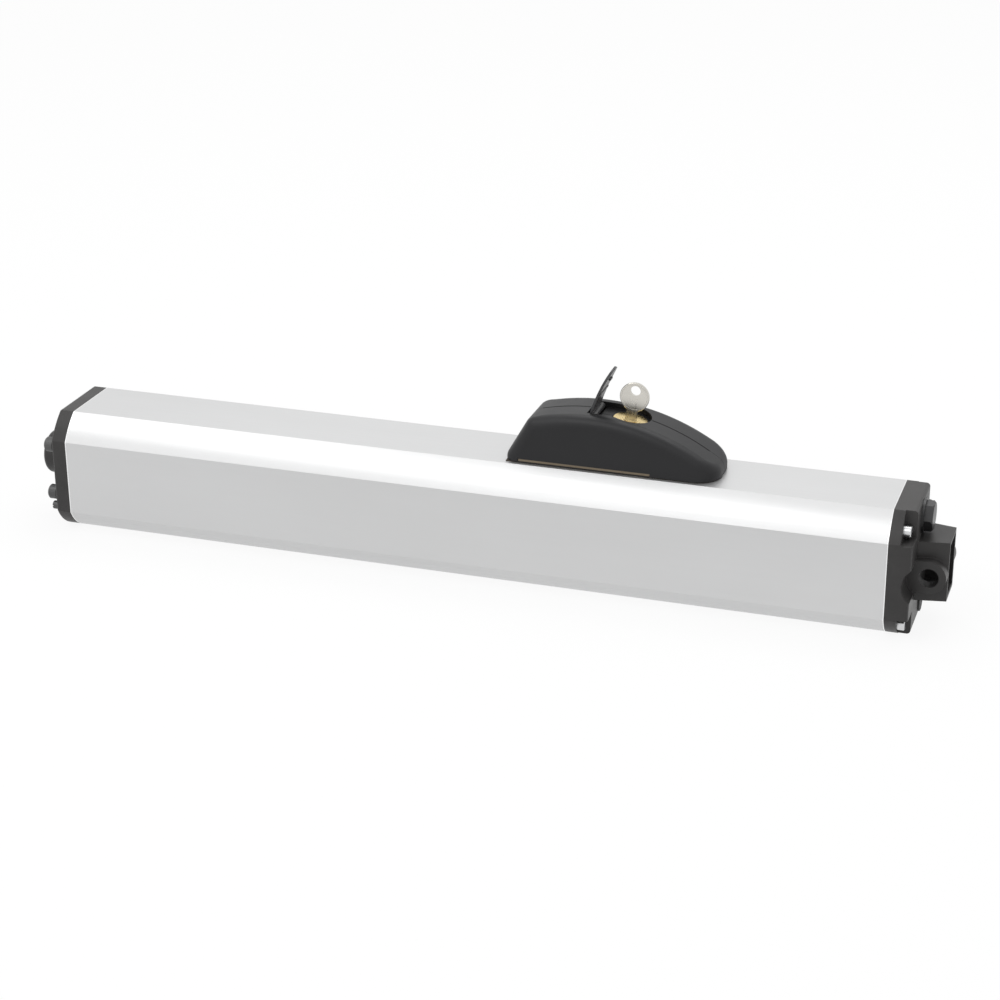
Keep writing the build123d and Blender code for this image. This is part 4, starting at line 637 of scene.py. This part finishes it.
def lay_floor(size):
    """Plain square floor just under the opener."""
    shape = bmesh.new()
    bmesh.ops.create_grid(shape, x_segments=4, y_segments=4, size=size / 2)
    mesh = bpy.data.meshes.new("studio_floor")
    shape.to_mesh(mesh)
    shape.free()
    floor = bpy.data.objects.new("studio_floor", mesh)
    floor.location = (0.0, 0.0, -FLOOR_DROP)
    mesh.materials.append(floor_finish())
    bpy.context.scene.collection.objects.link(floor)


def set_world():
    """Soft sky that lights at a plain level and is seen as white."""
    world = bpy.data.worlds.new("studio sky")
    bpy.context.scene.world = world
    world.use_nodes = True
    tree = world.node_tree
    lighting = tree.nodes["Background"]
    lighting.inputs["Color"].default_value = WHITE
    lighting.inputs["Strength"].default_value = SKY_LEVEL
    shown = tree.nodes.new("ShaderNodeBackground")
    shown.inputs["Color"].default_value = WHITE
    shown.inputs["Strength"].default_value = 1.0
    blend = tree.nodes.new("ShaderNodeMixShader")
    tree.links.new(seen_rays(tree), blend.inputs["Fac"])
    tree.links.new(lighting.outputs["Background"], blend.inputs[1])
    tree.links.new(shown.outputs["Background"], blend.inputs[2])
    tree.links.new(blend.outputs["Shader"], tree.nodes["World Output"].inputs["Surface"])


def hang_lamp(name, place, size, watts):
    """Large soft lamp that looks at the opener."""
    lamp = bpy.data.lights.new(name, "AREA")
    lamp.shape = "RECTANGLE"
    lamp.size, lamp.size_y = size
    lamp.energy = watts
    holder = bpy.data.objects.new(name, lamp)
    holder.location = place
    holder.rotation_euler = (LAMP_AIM - place).to_track_quat("-Z", "Y").to_euler()
    bpy.context.scene.collection.objects.link(holder)


class GATE_OT_stage(bpy.types.Operator):
    """Lays the floor, hangs the lamps and sets the camera"""
    bl_idname = "gate.stage"
    bl_label = "Studio"

    def execute(self, context):
        scene = context.scene
        lay_floor(scene.gate_sizes.floor_size)
        set_world()
        for lamp in LAMPS:
            hang_lamp(*lamp)
        view = bpy.data.cameras.new("camera")
        view.sensor_width = SENSOR_WIDTH
        view.lens = FOCAL_LENGTH
        view.clip_end = VIEW_REACH
        camera = bpy.data.objects.new("camera", view)
        scene.collection.objects.link(camera)
        axes = Matrix((CAMERA_RIGHT, CAMERA_UP, CAMERA_BACK)).transposed().to_4x4()
        camera.matrix_world = Matrix.Translation(CAMERA_PLACE) @ axes
        scene.camera = camera
        scene.view_settings.view_transform = "Standard"
        return {"FINISHED"}


STEPS = (GATE_OT_tank, GATE_OT_ends, GATE_OT_cylinder, GATE_OT_drive, GATE_OT_cover, GATE_OT_lock, GATE_OT_stage)


class GATE_PT_panel(bpy.types.Panel):
    """Lists the opener's settings and steps"""
    bl_label = "Gate Opener"
    bl_idname = "GATE_PT_panel"
    bl_space_type = "VIEW_3D"
    bl_region_type = "UI"
    bl_category = "Gate Opener"

    def draw(self, context):
        column = self.layout.column()
        for group in (context.scene.gate_sizes, context.scene.gate_colours):
            for setting in group.__annotations__:
                column.prop(group, setting)
        for step in STEPS:
            column.operator(step.bl_idname)


CLASSES = (GateOpenerSizes, GateOpenerColours) + STEPS + (GATE_PT_panel,)


def register():
    for cls in CLASSES:
        bpy.utils.register_class(cls)
    bpy.types.Scene.gate_sizes = bpy.props.PointerProperty(type=GateOpenerSizes)
    bpy.types.Scene.gate_colours = bpy.props.PointerProperty(type=GateOpenerColours)


def unregister():
    del bpy.types.Scene.gate_colours
    del bpy.types.Scene.gate_sizes
    for cls in reversed(CLASSES):
        bpy.utils.unregister_class(cls)


def main():
    """Runs every step in order."""
    register()
    bpy.ops.gate.tank()
    bpy.ops.gate.ends()
    bpy.ops.gate.cylinder()
    bpy.ops.gate.drive()
    bpy.ops.gate.cover()
    bpy.ops.gate.lock()
    bpy.ops.gate.stage()


if __name__ == "__main__":
    main()
